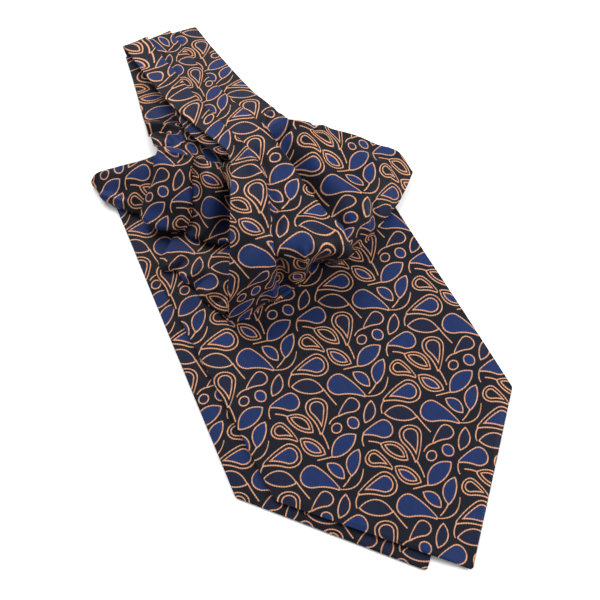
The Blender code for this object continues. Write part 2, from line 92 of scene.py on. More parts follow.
FRONT_FAN = (
    # t,    left fold,              first pleat,          second pleat,         wing edge
    (0.00, (-5.5, 184.1, 43.3), (3.1, 183.4, 44.2), (19.8, 184.9, 43.6), (33.4, 187.9, 42.0)),
    (0.15, (-9.6, 171.6, 45.6), (3.8, 170.4, 46.6), (20.5, 167.9, 42.8), (42.5, 184.2, 37.6)),
    (0.35, (-17.2, 157.6, 47.0), (2.5, 156.6, 48.0), (20.6, 153.7, 38.2), (55.0, 177.4, 30.5)),
    (0.55, (-26.2, 141.0, 46.0), (-1.4, 144.3, 48.0), (21.6, 139.8, 32.2), (69.5, 169.0, 23.5)),
    (0.75, (-36.2, 122.2, 42.0), (-7.7, 129.0, 46.4), (24.4, 125.7, 28.6), (81.0, 159.2, 17.5)),
    (0.90, (-45.6, 107.9, 29.0), (-15.0, 109.0, 39.5), (28.6, 104.4, 25.0), (92.6, 149.6, 12.4)),
)
FRONT_FAN_HEM = (  # place across (0 left fold, 1 and 2 pleats, 3 wing edge), x, y, z of its underside
    (0.00, -49.6, 102.6, 3.5), (0.33, -37.6, 102.2, 3.5), (0.67, -25.0, 104.8, 3.5),
    (1.00, -14.2, 103.0, 3.5), (1.30, 2.4, 108.6, 3.5), (1.48, 9.4, 113.6, 3.5),
    (1.68, 18.6, 111.0, 3.5), (2.00, 33.6, 109.4, 3.5), (2.20, 43.8, 109.4, 3.5),
    (2.38, 55.6, 114.6, 3.5), (2.60, 71.4, 121.6, 3.5), (2.80, 79.6, 126.0, 3.5),
    (3.00, 94.8, 137.6, 3.6))
FRONT_FAN_BULGE = (  # t, rise of each panel between its fold lines
    (0.00, 0.0, 0.0, 0.0), (0.35, 0.8, 2.2, 2.6), (0.75, 3.0, 6.0, 3.4), (0.90, 3.0, 6.0, 2.8),
    (1.00, 1.0, 1.0, 0.6))
SIDE_FOOT, SIDE_END = 8.4, 0.87   # height and t at which the cloth under the left fold ends
SIDE_GAP = 0.5                # below the fan's own wall
SIDE_REACH, SIDE_REACH_ENDS = 6.5, (0.02, 0.50)   # of its ledge at the top, and t where that fades
SIDE_WAVES = 0.5              # height of its soft folds
SIDE_LEDGE = (  # share of the way down, inward lean, share of the ledge's reach outward
    (0.00, 0.4, 0.00), (0.16, 1.1, 0.00), (0.27, 1.2, 0.15), (0.33, 1.3, 0.75), (0.39, 1.4, 1.00),
    (0.46, 1.6, 0.95), (0.54, 1.9, 0.35), (0.64, 2.2, 0.00), (1.00, 3.0, 0.00))

FRONT_LEFT_WING = (  # t, inner edge under the side, crest, outer edge before its roll
    (0.00, (-12.0, 170.0, 6.0), (-30.0, 171.0, 6.0), (-47.0, 170.6, 6.0)),
    (0.25, (-17.0, 156.0, 6.1), (-42.0, 157.0, 6.5), (-65.6, 155.8, 6.6)),
    (0.50, (-23.0, 141.0, 6.4), (-42.0, 142.0, 8.4), (-59.0, 141.6, 6.9)),
    (0.75, (-31.0, 125.0, 6.4), (-43.0, 126.4, 8.8), (-54.4, 127.0, 7.0)),
    (1.00, (-40.0, 110.6, 6.0), (-44.4, 110.0, 6.7), (-48.6, 109.6, 6.3)),
)
LEFT_WING_EDGE = (  # t, x, y, z of its underside
    (0.00, -50.0, 171.0, 3.5), (0.13, -60.0, 163.6, 3.5), (0.25, -69.8, 156.0, 3.5),
    (0.34, -65.6, 149.6, 3.5), (0.42, -62.2, 144.8, 3.5), (0.55, -59.0, 136.0, 3.5),
    (0.70, -57.2, 127.6, 3.5), (0.85, -54.4, 118.4, 3.5), (1.00, -50.4, 108.8, 3.5))
# Its rolled edge: how far out from the edge, and height above it.
LEFT_WING_ROLL = ((0.05, 2.4), (0.32, 1.9), (0.36, 1.3), (0.15, 0.7), (-0.3, 0.25))

BACK_FAN = (
    # t,    left fold,              crease,                 right end, against the front fan
    (0.00, (-38.4, 215.6, 24.6), (-23.4, 199.4, 26.5), (-7.2, 181.4, 28.3)),
    (0.25, (-43.4, 210.8, 22.8), (-27.6, 193.0, 23.6), (-10.0, 171.2, 26.4)),
    (0.50, (-50.6, 201.2, 18.2), (-32.6, 183.6, 20.6), (-14.4, 162.4, 23.0)),
    (0.75, (-60.4, 194.2, 13.4), (-37.8, 173.6, 17.2), (-19.2, 154.6, 19.4)),
    (0.90, (-64.0, 190.6, 11.0), (-42.2, 168.0, 13.8), (-22.2, 149.4, 15.6)),
)
BACK_FAN_HEM = (  # place across (0 left fold, 1 crease, 2 right end), x, y, z of its underside
    (0.00, -65.6, 189.0, 6.6), (0.20, -65.2, 184.6, 6.8), (0.40, -62.4, 179.0, 7.0),
    (0.75, -53.0, 170.6, 7.2), (1.00, -46.0, 167.0, 7.3), (1.12, -45.2, 162.0, 7.4),
    (1.40, -41.2, 157.8, 7.8), (1.62, -36.8, 152.2, 8.2), (2.00, -24.4, 146.2, 9.0))
BACK_FAN_BULGE = ((0.00, 0.0, 0.0), (0.40, 2.0, 2.4), (0.80, 2.6, 2.2), (1.00, 0.8, 0.8))

BACK_WING = (  # t, inner edge under the left fold, wing edge
    (0.00, (-38.6, 213.4, 20.6), (-41.6, 216.0, 18.0)),
    (0.30, (-42.4, 208.0, 19.2), (-52.0, 219.8, 13.4)),
    (0.60, (-49.6, 199.6, 14.2), (-66.0, 225.2, 9.6)),
    (0.85, (-58.0, 192.8, 9.4), (-78.0, 228.6, 6.6)),
)
BACK_WING_HEM = (  # place across (0 inner edge, 1 wing edge), x, y, z of its underside
    (0.00, -61.6, 188.6, 0.6), (0.20, -66.4, 194.6, 0.6), (0.40, -72.0, 200.8, 0.6),
    (0.60, -76.2, 206.0, 0.6), (0.80, -79.4, 213.8, 0.6), (1.00, -82.4, 226.6, 0.6))
BACK_WING_BULGE = ((0.0, 0.0), (0.5, 0.8), (1.0, 0.3))
BACK_WING_ROLLED = 1.62       # t at which the wing's rolled edge ends
BACK_ROLL_OUT, BACK_WING_ROLL_OUT = 0.85, 0.7   # how far out their hems roll, against the front's
BACK_WING_WAVES = 0.15        # slow unevenness of the wing

BAND_UPPER = (  # t, left edge, right edge, first pleat's place across
    (0.00, (-5.2, 184.9, 43.1), (33.2, 188.9, 41.7), 0.22),
    (0.15, (-9.9, 200.8, 38.6), (30.4, 204.4, 37.4), 0.25),
    (0.30, (-14.4, 219.6, 32.6), (27.8, 220.6, 32.2), 0.29),
    (0.45, (-18.4, 238.2, 27.0), (26.6, 237.6, 26.6), 0.32),
    (0.65, (-20.6, 261.3, 20.2), (25.7, 258.2, 19.8), 0.325),
    (0.85, (-22.0, 284.0, 14.0), (24.7, 279.0, 13.8), 0.325),
    (1.00, (-23.4, 303.6, 10.2), (24.0, 294.6, 10.2), 0.325),
)
UPPER_SECOND_PLEAT = 0.65     # its second pleat's place, and both places in the lower band
LOWER_PLEATS = (0.42, 0.63)
TURN_RADIUS, TURN_ANGLE = 5.05, 172.0   # of the upper band's turn at its far end
BAND_WAVES = 0.18             # slow unevenness of the neckband
BAND_LOWER = (  # t, left edge, right edge
    (0.00, (-24.6, 303.6, 1.7), (22.8, 294.6, 1.7)),
    (0.20, (-27.6, 287.0, 2.6), (17.6, 277.0, 2.4)),
    (0.42, (-31.4, 268.0, 5.0), (11.0, 256.0, 5.0)),
    (0.64, (-35.6, 248.0, 10.0), (6.6, 231.0, 11.0)),
    (0.84, (-38.0, 231.0, 17.6), (0.6, 206.0, 20.0)),
    (1.00, (-37.5, 216.6, 24.5), (-6.3, 182.0, 28.3)),
)
PLEAT_SHOWS = 4.2             # how far the first pleat's under layer comes out past the band's edge
UNDER_LAYER_WALL = 0.8
UNDER_LAYER_DROP, UNDER_LAYER_SAG = 2.6, 3.8   # how far it lies below the band, and its edge more
UNDER_LAYER_END = 0.45        # t of the band at which it goes out of sight
STRIP_WIDTH, BAND_RUN = 15.0, 120.0   # width and length of one strip between pleats, laid flat

# A knife pleat's folded edge: how far past the fold line, and its share of the pleat's height.
FOLD_EDGE = ((0.28, 0.98), (0.60, 0.82), (0.74, 0.52), (0.52, 0.22), (-0.10, 0.05), (-0.90, 0.00))
# A rolled lower edge: how far out from its foot, and its height above the foot.
ROLL = ((0.0, 3.4), (0.72, 2.55), (0.98, 1.65), (0.80, 0.85), (0.15, 0.22), (-0.9, 0.02),
        (-2.5, 0.0), (-4.5, 0.0))
HEM_STEP = 0.13               # place to each side from which a hem's direction is read

# Hidden folded layers: for each height, the middle and the reach at twelve even angles.
FRONT_CORE = (
    (4.6, (24.0, 150.0), (55, 40, 36, 33, 35, 37, 38, 50, 36, 37, 38, 42)),
    (13.5, (19.1, 150.4), (49, 42, 37, 32, 31, 28, 30, 43, 39, 34, 33, 35)),
    (21.5, (14.2, 150.9), (26, 38, 38, 32, 27, 24, 26, 36, 36, 30, 24, 20)),
    (29.5, (9.3, 151.3), (11, 24, 34, 31, 23, 20, 22, 31, 31, 26, 18, 11)),
    (37.5, (4.4, 151.8), (8, 11, 24, 29, 18, 16, 18, 25, 25, 21, 14, 8)),
    (42.2, (2.0, 152.0), (5, 7, 14, 21, 15, 14, 15, 22, 20, 16, 10, 6)))
BACK_CORE = (
    (4.4, (-38.0, 190.0), (17, 17, 20, 20, 26, 22, 19, 18, 18, 17, 18, 24)),
    (8.0, (-37.7, 190.2), (20, 16, 20, 24, 25, 19, 18, 18, 18, 17, 18, 24)),
    (11.0, (-37.3, 190.3), (24, 18, 16, 20, 20, 15, 17, 17, 17, 18, 25, 26)),
    (14.0, (-37.0, 190.5), (20, 22, 19, 18, 14, 13, 13, 12, 12, 13, 18, 22)),
    (17.4, (-36.7, 190.7), (19, 20, 19, 14, 10, 7, 6, 5, 5, 5, 6, 10)))
CORE_BULGE, CORE_TOP = 1.3, 0.4   # depth between two layers of cloth, and rise of the top's middle
CORE_REACH = 34.0             # radius at which the layers' cloth is laid flat

# ------------------------------------------------------------------------------- the woven pattern
TILE = 54.0                   # side of the pattern's square repeat, which lies turned on the cloth
TILE_TURN = 45.0
DROP_MIDDLE = 0.4             # a drop's middle, as a share of its length from its big end
DROPS = (  # place, turn, length between centres, big radius, small radius, bend, fill, inner gap
    ((49, 29), 200, 14.0, 6.5, 0.9, 0.020, "blue", 2.2),
    ((11, 3), 315, 13.0, 6.0, 0.9, -0.025, "navy", 2.1),
    ((21, 24.5), 10, 15.0, 6.0, 0.8, -0.020, "blue", 0.0),
    ((42, 5), 195, 10.5, 5.0, 0.8, 0.025, "blue", 0.0),
    ((49, 43), 5, 10.0, 4.5, 0.8, -0.030, "ground", 1.8),
    ((23, 12), 220, 8.5, 4.0, 0.7, 0.030, "navy", 0.0),
)
LEAVES = (  # place, turn, half length, half width, bend, fill, inner gap
    ((27, 45), 240, 9.0, 4.5, 0.010, "blue", 0.0),
    ((53, 17), 10, 9.0, 4.2, -0.015, "navy", 0.0),
    ((1, 50), 165, 8.5, 4.0, 0.015, "ground", 1.7),
    ((11, 39), 165, 8.0, 4.0, -0.010, "blue", 1.8),
    ((35, 37.5), 270, 7.5, 3.5, 0.020, "blue", 0.0),
    ((36, 13), 270, 6.5, 3.0, -0.020, "navy", 0.0),
    ((27, 30.5), 155, 6.0, 3.0, 0.020, "blue", 0.0),
    ((29, 4.5), 150, 3.5, 3.0, 0.000, "blue", 0.0),
    ((21, 53), 60, 3.0, 2.6, 0.000, "navy", 0.0),
)
STEMS = (  # place of the middle, turn, length, bend
    ((42, 18), 275, 7.5, 0.065),
    ((17, 44.5), 310, 9.5, -0.015),
    ((38.5, 26.5), 55, 17.0, 0.060),
    ((36.5, 51), 285, 7.0, 0.065),
    ((18, 3.5), 235, 7.0, 0.070),
    ((19.5, 35), 210, 8.5, 0.000),
    ((12.5, 15), 325, 11.5, 0.005),
    ((43.5, 51.5), 185, 7.0, 0.025),
    ((34.5, 26.5), 250, 7.0, -0.025),
)

# --------------------------------------------------------------------------------------- the stage
LENS, SENSOR = 51.0, 36.0
CAMERA_TURN, CAMERA_RISE = math.radians(28.58), math.radians(69.0)
CAMERA_AIM = (-5.87, 97.78, 0.0)
CAMERA_AWAY = 502.6
LAMP_SIZE = 0.7               # metres, as are the floor's sizes and the lamps' places from the aim
FLOOR_HALF, FLOOR_DROP = 2.0, 0.0003
BACK_LIGHT, SIDE_LIGHT = (0.00, 0.86, 0.82), (0.878, -0.478, 0.70)


# ----------------------------------------------------------------------------------- shape helpers
def smooth(knots, values, at):
    """Cubic curve through the values at the knots, with slopes from their neighbours."""
    knots = np.asarray(knots, float)
    values = np.asarray(values, float)
    at = np.asarray(at, float)
    slope = np.gradient(values, knots, axis=0)
    k = np.clip(np.searchsorted(knots, at, side="right") - 1, 0, len(knots) - 2)
    span = (knots[k + 1] - knots[k]).reshape((-1,) + (1,) * (values.ndim - 1))
    u = (at - knots[k]).reshape(span.shape) / span
    a = 2 * u ** 3 - 3 * u ** 2 + 1
    b = u ** 3 - 2 * u ** 2 + u
    c = -2 * u ** 3 + 3 * u ** 2
    d = u ** 3 - u ** 2
    return a * values[k] + b * span * slope[k] + c * values[k + 1] + d * span * slope[k + 1]


def table_curve(table, at):
    """Smooth curve through a table whose first column is the place along it."""
    rows = np.array(table, float)
    return smooth(rows[:, 0], rows[:, 1:], at)


def unit(vectors):
    """Vectors drawn to length 1."""
    return vectors / np.maximum(np.linalg.norm(vectors, axis=-1, keepdims=True), 1e-9)


def ease(value, start, end):
    """Rises smoothly from 0 at start to 1 at end."""
    f = np.clip((value - start) / (end - start), 0, 1)
    return f * f * (3 - 2 * f)


def across_sections(table, t, place):
    """Sections at each t, read along the straight lines between their fold lines at each place."""
    knots = [row[0] for row in table]
    lines = np.array([[np.array(p, float) for p in row[1:]] for row in table])
    rows = smooth(knots, lines, t)
    low = np.clip(np.floor(place).astype(int), 0, lines.shape[1] - 2)
    f = (place - low)[None, :, None]
    return rows[:, low] * (1 - f) + rows[:, low + 1] * f


def fan_surface(table, hem, bulges, roll_out=1.0):
    """A fan as a surface of t and place: sections down to t = 0.9, its lower edge at t = 1, and the
    roll by which that edge turns under itself from t = 1 to 2. Panels rise between their folds by
    half a sine wave."""
    def surface(t, place):
        t = np.asarray(t, float)
        place = np.asarray(place, float)
        upper_knots = [row[0] for row in table]
        sections = across_sections(table, upper_knots, place)
        foot = table_curve(hem, place)
        edge = foot.copy()
        edge[:, 2] += ROLL[0][1]
        rows = np.concatenate([sections, edge[None]])
        grid = smooth(upper_knots + [1.0], rows, np.minimum(t, 1))
        rise = table_curve(bulges, np.minimum(t, 1))
        low = np.clip(np.floor(place).astype(int), 0, rise.shape[1] - 1)
        fade = np.where(t > 1, np.clip(2 - t, 0, 1) ** 3, 1.0)
        grid[:, :, 2] += rise[:, low] * fade[:, None] * np.sin(np.pi * (place - low))[None, :]
        ahead = table_curve(hem, place + HEM_STEP) - table_curve(hem, place - HEM_STEP)
        out = unit(np.stack([ahead[:, 1], -ahead[:, 0]], axis=1))
        rolled = smooth(np.linspace(0, 1, len(ROLL)), np.array(ROLL), np.clip(t - 1, 0, 1))
        under = t > 1
        reach = (rolled[under, 0] * roll_out)[:, None, None]
        grid[under, :, :2] = foot[None, :, :2] + out[None] * reach
        grid[under, :, 2] = foot[None, :, 2] + rolled[under, 1][:, None]
        return grid
    return surface


def pleat_columns(counts):
    """Columns across a cloth of pleated panels: place, panel, share of the pleat's height, how far
    past the fold line, and how many folds were passed. The share grows to each folded edge."""
    rows = []
    for k, count in enumerate(counts):
        last = k == len(counts) - 1
        for f in np.linspace(0, 1, count)[(1 if k else 0):]:
            rows.append((k + f, k, 0.0 if last else f ** 1.6, 0.0, k))
        if not last:
            for n, (past, share) in enumerate(FOLD_EDGE):
                rows.append((k + 1.0, k, share, past, k if n < 4 else k + 1))
    return np.array(rows, float)


def lay_flat(grid, rounds=260):
    """Lays a grid flat: its columns are drawn straight in plan at their true length, and then all
    its edges and diagonals are relaxed towards their true lengths."""
    step = np.linalg.norm(np.diff(grid, axis=0), axis=2)
    run = np.concatenate([np.zeros((1, grid.shape[1])), np.cumsum(step, axis=0)])
    way = unit(grid[-1, :, :2] - grid[0, :, :2])
    flat = grid[0, :, :2][None] + run[:, :, None] * way[None]
    rows, cols = grid.shape[:2]
    links = []
    for di, dj in ((1, 0), (0, 1), (1, 1), (1, -1), (3, 0), (0, 3)):
        a = (slice(0, rows - di), slice(max(0, -dj), cols - max(0, dj)))
        b = (slice(di, rows), slice(max(0, dj), cols - max(0, -dj)))
        links.append((a, b, np.linalg.norm(grid[b] - grid[a], axis=2)))
    for _ in range(rounds):
        move = np.zeros_like(flat)
        count = np.zeros((rows, cols, 1))
        for a, b, want in links:
            gap = flat[b] - flat[a]
            now = np.maximum(np.linalg.norm(gap, axis=2), 1e-6)
            fix = gap * ((now - want) / now)[:, :, None] * 0.5
            move[a] += fix
            move[b] -= fix
            count[a] += 1
            count[b] += 1
        flat = flat + move / count
    return flat


def read_grid(values, rows, cols, t, place):
    """Values of a coarse grid, read at t and place by straight lines between its points."""
    i = np.clip(np.searchsorted(rows, t, side="right") - 1, 0, len(rows) - 2)
    j = np.clip(np.searchsorted(cols, place, side="right") - 1, 0, len(cols) - 2)
    u = ((t - rows[i]) / (rows[i + 1] - rows[i]))[:, None, None]
    v = ((place - cols[j]) / (cols[j + 1] - cols[j]))[None, :, None]
    i, j = i[:, None], j[None, :]
    return ((values[i, j] * (1 - v) + values[i, j + 1] * v) * (1 - u)
            + (values[i + 1, j] * (1 - v) + values[i + 1, j + 1] * v) * u)


def soft_waves(flat, amount, size=24.0):
    """Slow unevenness of silk: three crossed sine waves over the flat cloth, each amount high."""
    x, y = flat[..., 0] / size, flat[..., 1] / size
    return amount * (np.sin(2.1 * x + 1.3 * y + 0.7) + 0.7 * np.sin(3.7 * x - 2.9 * y + 2.1)
                     + 0.45 * np.sin(6.1 * x + 5.3 * y + 4.0))


def fold_rise(t, place, scale, folds):
    """Height of the soft ridges and troughs that run down a cloth beside its fold lines: each keeps
    a distance in millimetres from a place across, and is bell-shaped with its own width on each
    side."""
    total = np.zeros(scale.shape)
    for beside, start, end, first, last, left, right, height in folds:
        s = ((t - start) / (end - start))[:, None]
        away = (place - beside)[None, :] * scale - (first + (last - first) * s)
        ends = ease(s, -0.15, 0.25) * (1 - ease(s, 0.75, 1.15))
        total += height * np.exp(-(away / np.where(away < 0, left, right)) ** 2) * ends
    return total


def step_rise(points, steps):
    """Depth of the layers that end along a line in plan: all points to the line's left lie lower,
    by a depth that changes from the line's first end to its second."""
    total = np.zeros(points.shape[:-1])
    for x0, y0, x1, y1, width, first, second in steps:
        length = math.hypot(x1 - x0, y1 - y0)
        along = (x1 - x0) * (points[..., 0] - x0) + (y1 - y0) * (points[..., 1] - y0)
        away = ((x1 - x0) * (points[..., 1] - y0) - (y1 - y0) * (points[..., 0] - x0)) / length
        depth = first + (second - first) * ease(along / length ** 2, 0, 1)
        total -= depth * ease(away, 0.0, width)
    return total


def crease_rise(points, creases):
    """Height of the soft ridges and troughs at each point: each is a line in plan, bell-shaped
    across with its own width on each side, that fades at both its ends. A last value bows the line
    to its left by that many millimetres."""
    total = np.zeros(points.shape[:-1])
    for x0, y0, x1, y1, left, right, height, *bow in creases:
        line = np.array([x1 - x0, y1 - y0], float)
        length = math.hypot(*line)
        rel = points[..., :2] - (x0, y0)
        s = (rel @ line) / length ** 2
        away = (line[0] * rel[..., 1] - line[1] * rel[..., 0]) / length
        away = away - sum(bow) * 4 * s * (1 - s)
        width = np.where(away > 0, left, right)
        ends = ease(s, -0.12, 0.25) * (1 - ease(s, 0.75, 1.12))
        total += height * np.exp(-(away / width) ** 2) * ends
    return total


def bump_rise(points, bumps):
    """Height of flat-topped round bumps with steep edges: x, y, radius and height of each."""
    total = np.zeros(points.shape[:-1])
    for x, y, radius, height in bumps:
        away = np.hypot(points[..., 0] - x, points[..., 1] - y) / radius
        total += height * np.clip(1 - away ** 4, 0, 1) ** 0.7
    return total


def mesh_object(name, points, quads, flat):
    """Mesh object at the origin from points in millimetres, quads and each point's flat place."""
    used = points[quads]
    a, b, c, d = (used[:, k] for k in range(4))
    volume = np.einsum("ij,ij->i", a, np.cross(b, c)).sum() + np.einsum(
        "ij,ij->i", a, np.cross(c, d)).sum()
    if volume < 0:
        quads = quads[:, ::-1]
    mesh = bpy.data.meshes.new(name)
    mesh.vertices.add(len(points))
    mesh.vertices.foreach_set("co", (points * MM).astype(np.float32).ravel())
    mesh.loops.add(quads.size)
    mesh.loops.foreach_set("vertex_index", quads.astype(np.int32).ravel())
    mesh.polygons.add(len(quads))
    mesh.polygons.foreach_set("loop_start", np.arange(0, quads.size, 4, dtype=np.int32))
    mesh.polygons.foreach_set("loop_total", np.full(len(quads), 4, np.int32))
    mesh.update(calc_edges=True)
    mesh.validate()
    layer = mesh.uv_layers.new(name=CLOTH_MAP)
    corners = np.zeros(len(mesh.loops), np.int32)
    mesh.loops.foreach_get("vertex_index", corners)
    layer.data.foreach_set("uv", flat[corners].astype(np.float32).ravel())
    mesh.shade_smooth()
    obj = bpy.data.objects.new(name, mesh)
    bpy.context.scene.collection.objects.link(obj)
    return obj


def grid_quads(rows, cols, start=0):
    """Quads of a grid whose points are numbered row by row from start."""
    i, j = np.mgrid[0:rows - 1, 0:cols - 1]
    a = start + i * cols + j
    return np.stack([a, a + 1, a + cols + 1, a + cols], axis=-1).reshape(-1, 4)


def shell(name, outer, inner, flat):
    """Closed cloth wall: an outer grid, an inner grid and a half-round rim of three bands."""
    rows, cols = outer.shape[:2]
    count = rows * cols
    ring = np.concatenate([
        np.arange(cols), np.arange(2, rows) * cols - 1, count - 1 - np.arange(cols),
        np.arange(rows - 2, 0, -1) * cols])
    inward = np.concatenate([
        np.arange(cols) + cols, np.arange(2, rows) * cols - 2, count - 1 - np.arange(cols) - cols,
        np.arange(rows - 2, 0, -1) * cols + 1])
    top, low = outer.reshape(-1, 3), inner.reshape(-1, 3)
    place = flat.reshape(-1, 2)
    middle = (top[ring] + low[ring]) / 2
    half = (top[ring] - low[ring]) / 2
    reach = np.linalg.norm(half, axis=1, keepdims=True)
    ahead = np.roll(middle, -2, 0) - np.roll(middle, 2, 0)
    out = unit(np.cross(ahead, half))
    back = middle - (top[inward] + low[inward]) / 2
    out *= np.sign((out * back).sum(axis=1, keepdims=True) + 1e-12)
    flat_out = unit(place[ring] - place[inward])
    points, places, quads = [top, low], [place, place], [
        grid_quads(rows, cols), grid_quads(rows, cols, count)[:, ::-1]]
    bands = [ring]
    for k, angle in enumerate((45, 90, 135)):
        turn = math.radians(angle)
        points.append(middle + half * math.cos(turn) + out * reach * math.sin(turn))
        places.append(place[ring] + flat_out * reach * turn)
        bands.append(2 * count + k * len(ring) + np.arange(len(ring)))
    bands.append(ring + count)
    for a, b in zip(bands, bands[1:]):
        quads.append(np.stack([np.roll(a, -1), a, b, np.roll(b, -1)], axis=1))
    return mesh_object(name, np.concatenate(points), np.concatenate(quads), np.concatenate(places))


COARSE_ROWS, COARSE_ROLLED = 20, 6   # rows of the grid that is laid flat: to t = 1, and past it
COARSE_COLS = 8               # its columns across each panel
EDGE_STEPS = (0.02, 0.12)     # a folded edge's points are moved across the cloth by this much
EDGE_RUN = (0.6, 1.4)         # cloth that goes round a folded edge: at its top, and more below


def directions(surface, t, place):
    """Points of a surface, and its normals, directions across and millimetres for one place."""
    near = 0.004
    down = (surface(np.minimum(t + near, t.max()), place)
            - surface(np.maximum(t - near, t.min()), place))
    across = surface(t, place + near) - surface(t, place - near)
    scale = np.linalg.norm(across, axis=-1) / (2 * near)
    return surface(t, place), unit(np.cross(down, across)), unit(across), scale


def laid_flat(surface, t, place):
    """Flat places of a surface: a coarse grid of it is laid flat, and then read finely."""
    rows = np.linspace(t[0], min(1.0, t[-1]), COARSE_ROWS)
    if t[-1] > 1:
        rows = np.concatenate([rows, np.linspace(1.0, t[-1], COARSE_ROLLED)[1:]])
    cols = np.linspace(place[0], place[-1], COARSE_COLS * int(place[-1] - place[0]) + 1)
    return read_grid(lay_flat(surface(rows, cols)), rows, cols, t, place)


class Cloth:
    """Cloth piece on a surface of t and place. Pleats give (panel, height at the top, height below,
    t by which it has opened); folds, creases, steps and waves are added along the surface's normal,
    which up turns over. Where the cloth goes on from another piece, meet gives that piece and how
    far each row has taken its edge."""

    def __init__(self, surface, t, columns, wall, pleats=(), folds=(), creases=(), steps=(),
                 waves=0.3, up=1, meet=None, bumps=()):
        self.surface, self.place = surface, columns[:, 0]
        base, normal, across, scale = directions(surface, t, self.place)
        normal = normal * up
        if meet is None:
            self.laid = laid_flat(surface, t, self.place)
        else:
            self.laid = self.laid_on(meet[0], base, self.place, meet[1])
        moved = crease_rise(base, creases) + step_rise(base, steps) + soft_waves(self.laid, waves)
        moved += fold_rise(t, self.place, scale, folds) + bump_rise(base, bumps)
        if t.max() > 1:
            moved *= (1 - ease(t, 1.0, 1.5))[:, None]
        base = base + normal * moved[:, :, None]
        if meet is not None:
            top, taken, place_there = meet
            row, row_normal = top.row(place_there(self.place))
            base += (row - base[np.argmax(taken)])[None] * taken[:, None, None]
            normal = unit(normal + (row_normal - normal) * taken[:, None, None])
        self.base, self.normal = base, normal
        self.add_walls(t, columns, across, wall, pleats)

    def add_walls(self, t, columns, across, wall, pleats):
        """Outer wall, raised towards each knife pleat's folded edge and drawn past its fold line,
        inner wall, and the cloth that lies hidden in the pleats."""
        place, panel, share, past, passed = columns.T
        outer = self.base.copy()
        for k, above, below, opens in pleats:
            height = above + (below - above) * ease(t, 0.0, 0.3)
            fade = height * (1 - ease(t, opens - 0.3, opens))
            mine = (panel == k)
            outer += self.normal * (fade[:, None] * (share * mine)[None, :])[:, :, None]
            outer += across * ((fade / height)[:, None] * (past * mine)[None, :])[:, :, None]
        edges = past != 0
        spread = np.zeros(len(place))
        spread[edges] = np.tile(np.linspace(*EDGE_STEPS, len(FOLD_EDGE)),
                                edges.sum() // len(FOLD_EDGE))
        self.outer = outer + across * spread[None, :, None]
        self.inner = self.base + across * spread[None, :, None] - self.normal * wall
        run = np.where(edges & (share > 0.04), EDGE_RUN[0] + EDGE_RUN[1] * (1 - share), 0.0)
        self.hidden = np.stack([passed * PLEAT_HIDES[0] + run, passed * PLEAT_HIDES[1]], axis=1)

    def row(self, place):
        """Points and normals of the cloth's first row at other places across it."""
        return [np.stack([np.interp(place, self.place, grid[0, :, k]) for k in range(3)], axis=1)
                for grid in (self.base, self.normal)]

    @staticmethod
    def laid_on(top, base, place, taken):
        """Flat places that carry on from the other piece's first row, up its cloth."""
        first = top.laid[0]
        back = unit((first - top.laid[4]).mean(axis=0))
        middle = base[:, base.shape[1] // 2]
        run = np.concatenate([[0], np.cumsum(np.linalg.norm(np.diff(middle, axis=0), axis=1))])
        run = np.abs(run - run[np.argmax(taken)])
        width = np.linalg.norm(base[:, -1] - base[:, 0], axis=1)
        width = (width / width[np.argmax(taken)])[:, None, None]
        share = (place - place[0]) / (place[-1] - place[0]) * (top.place[-1] - top.place[0])
        side = np.stack([np.interp(share, top.place, first[:, k]) for k in range(2)], axis=1)
        centre = side.mean(axis=0)
        return centre + (side - centre)[None] * width + back[None, None] * run[:, None, None]

    def build(self, name, shift):
        """The cloth's mesh, with its place in the woven pattern moved by the shift."""
        return shell(name, self.outer, self.inner, self.laid + self.hidden[None] + shift)


def plain_columns(start, end, count):
    """Columns across a cloth without pleats."""
    place = np.linspace(start, end, count)
    return np.stack([place] + [np.zeros(count)] * 4, axis=1)


def finish_piece(obj, node):
    """Gives a piece its silk and its body, and hides the CAD part that it dresses."""
    obj.data.materials.append(silk())
    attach(obj, BODY)
    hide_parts(node)


# ------------------------------------------------------------------------------------ silk shaders
RIB_SLANT = 0.35              # how far the satin ribs lean
SLUB_STRETCH = (1.6, 0.16, 1.0)
OUTLINE_BLEND, FIGURE_BLEND = 0.06, 0.05   # half widths of the soft edges, in millimetres
# Brightness and roughness over a mask from 0 to 1: a factor, and the value where the mask is 0.
# The slubs give the yarn's own uneven tone; the ribs' brightness is painted shade, crests lighter
# than sides, and the floats' is painted highlight and shade along the outline threads.
SLUB_SHADE, RIB_PAINTED_SHADE, FLOAT_PAINTED_LIGHT = (0.5, 0.75), (-0.22, 1.10), (-0.50, 1.22)
OUTLINE_ROUGHNESS = (-0.10, 0.50)
RIB_ROUGHNESS, OUTLINE_METAL = 0.06, 0.15
BUMP_STRENGTH, BUMP_HEIGHT = 0.4, 0.00008


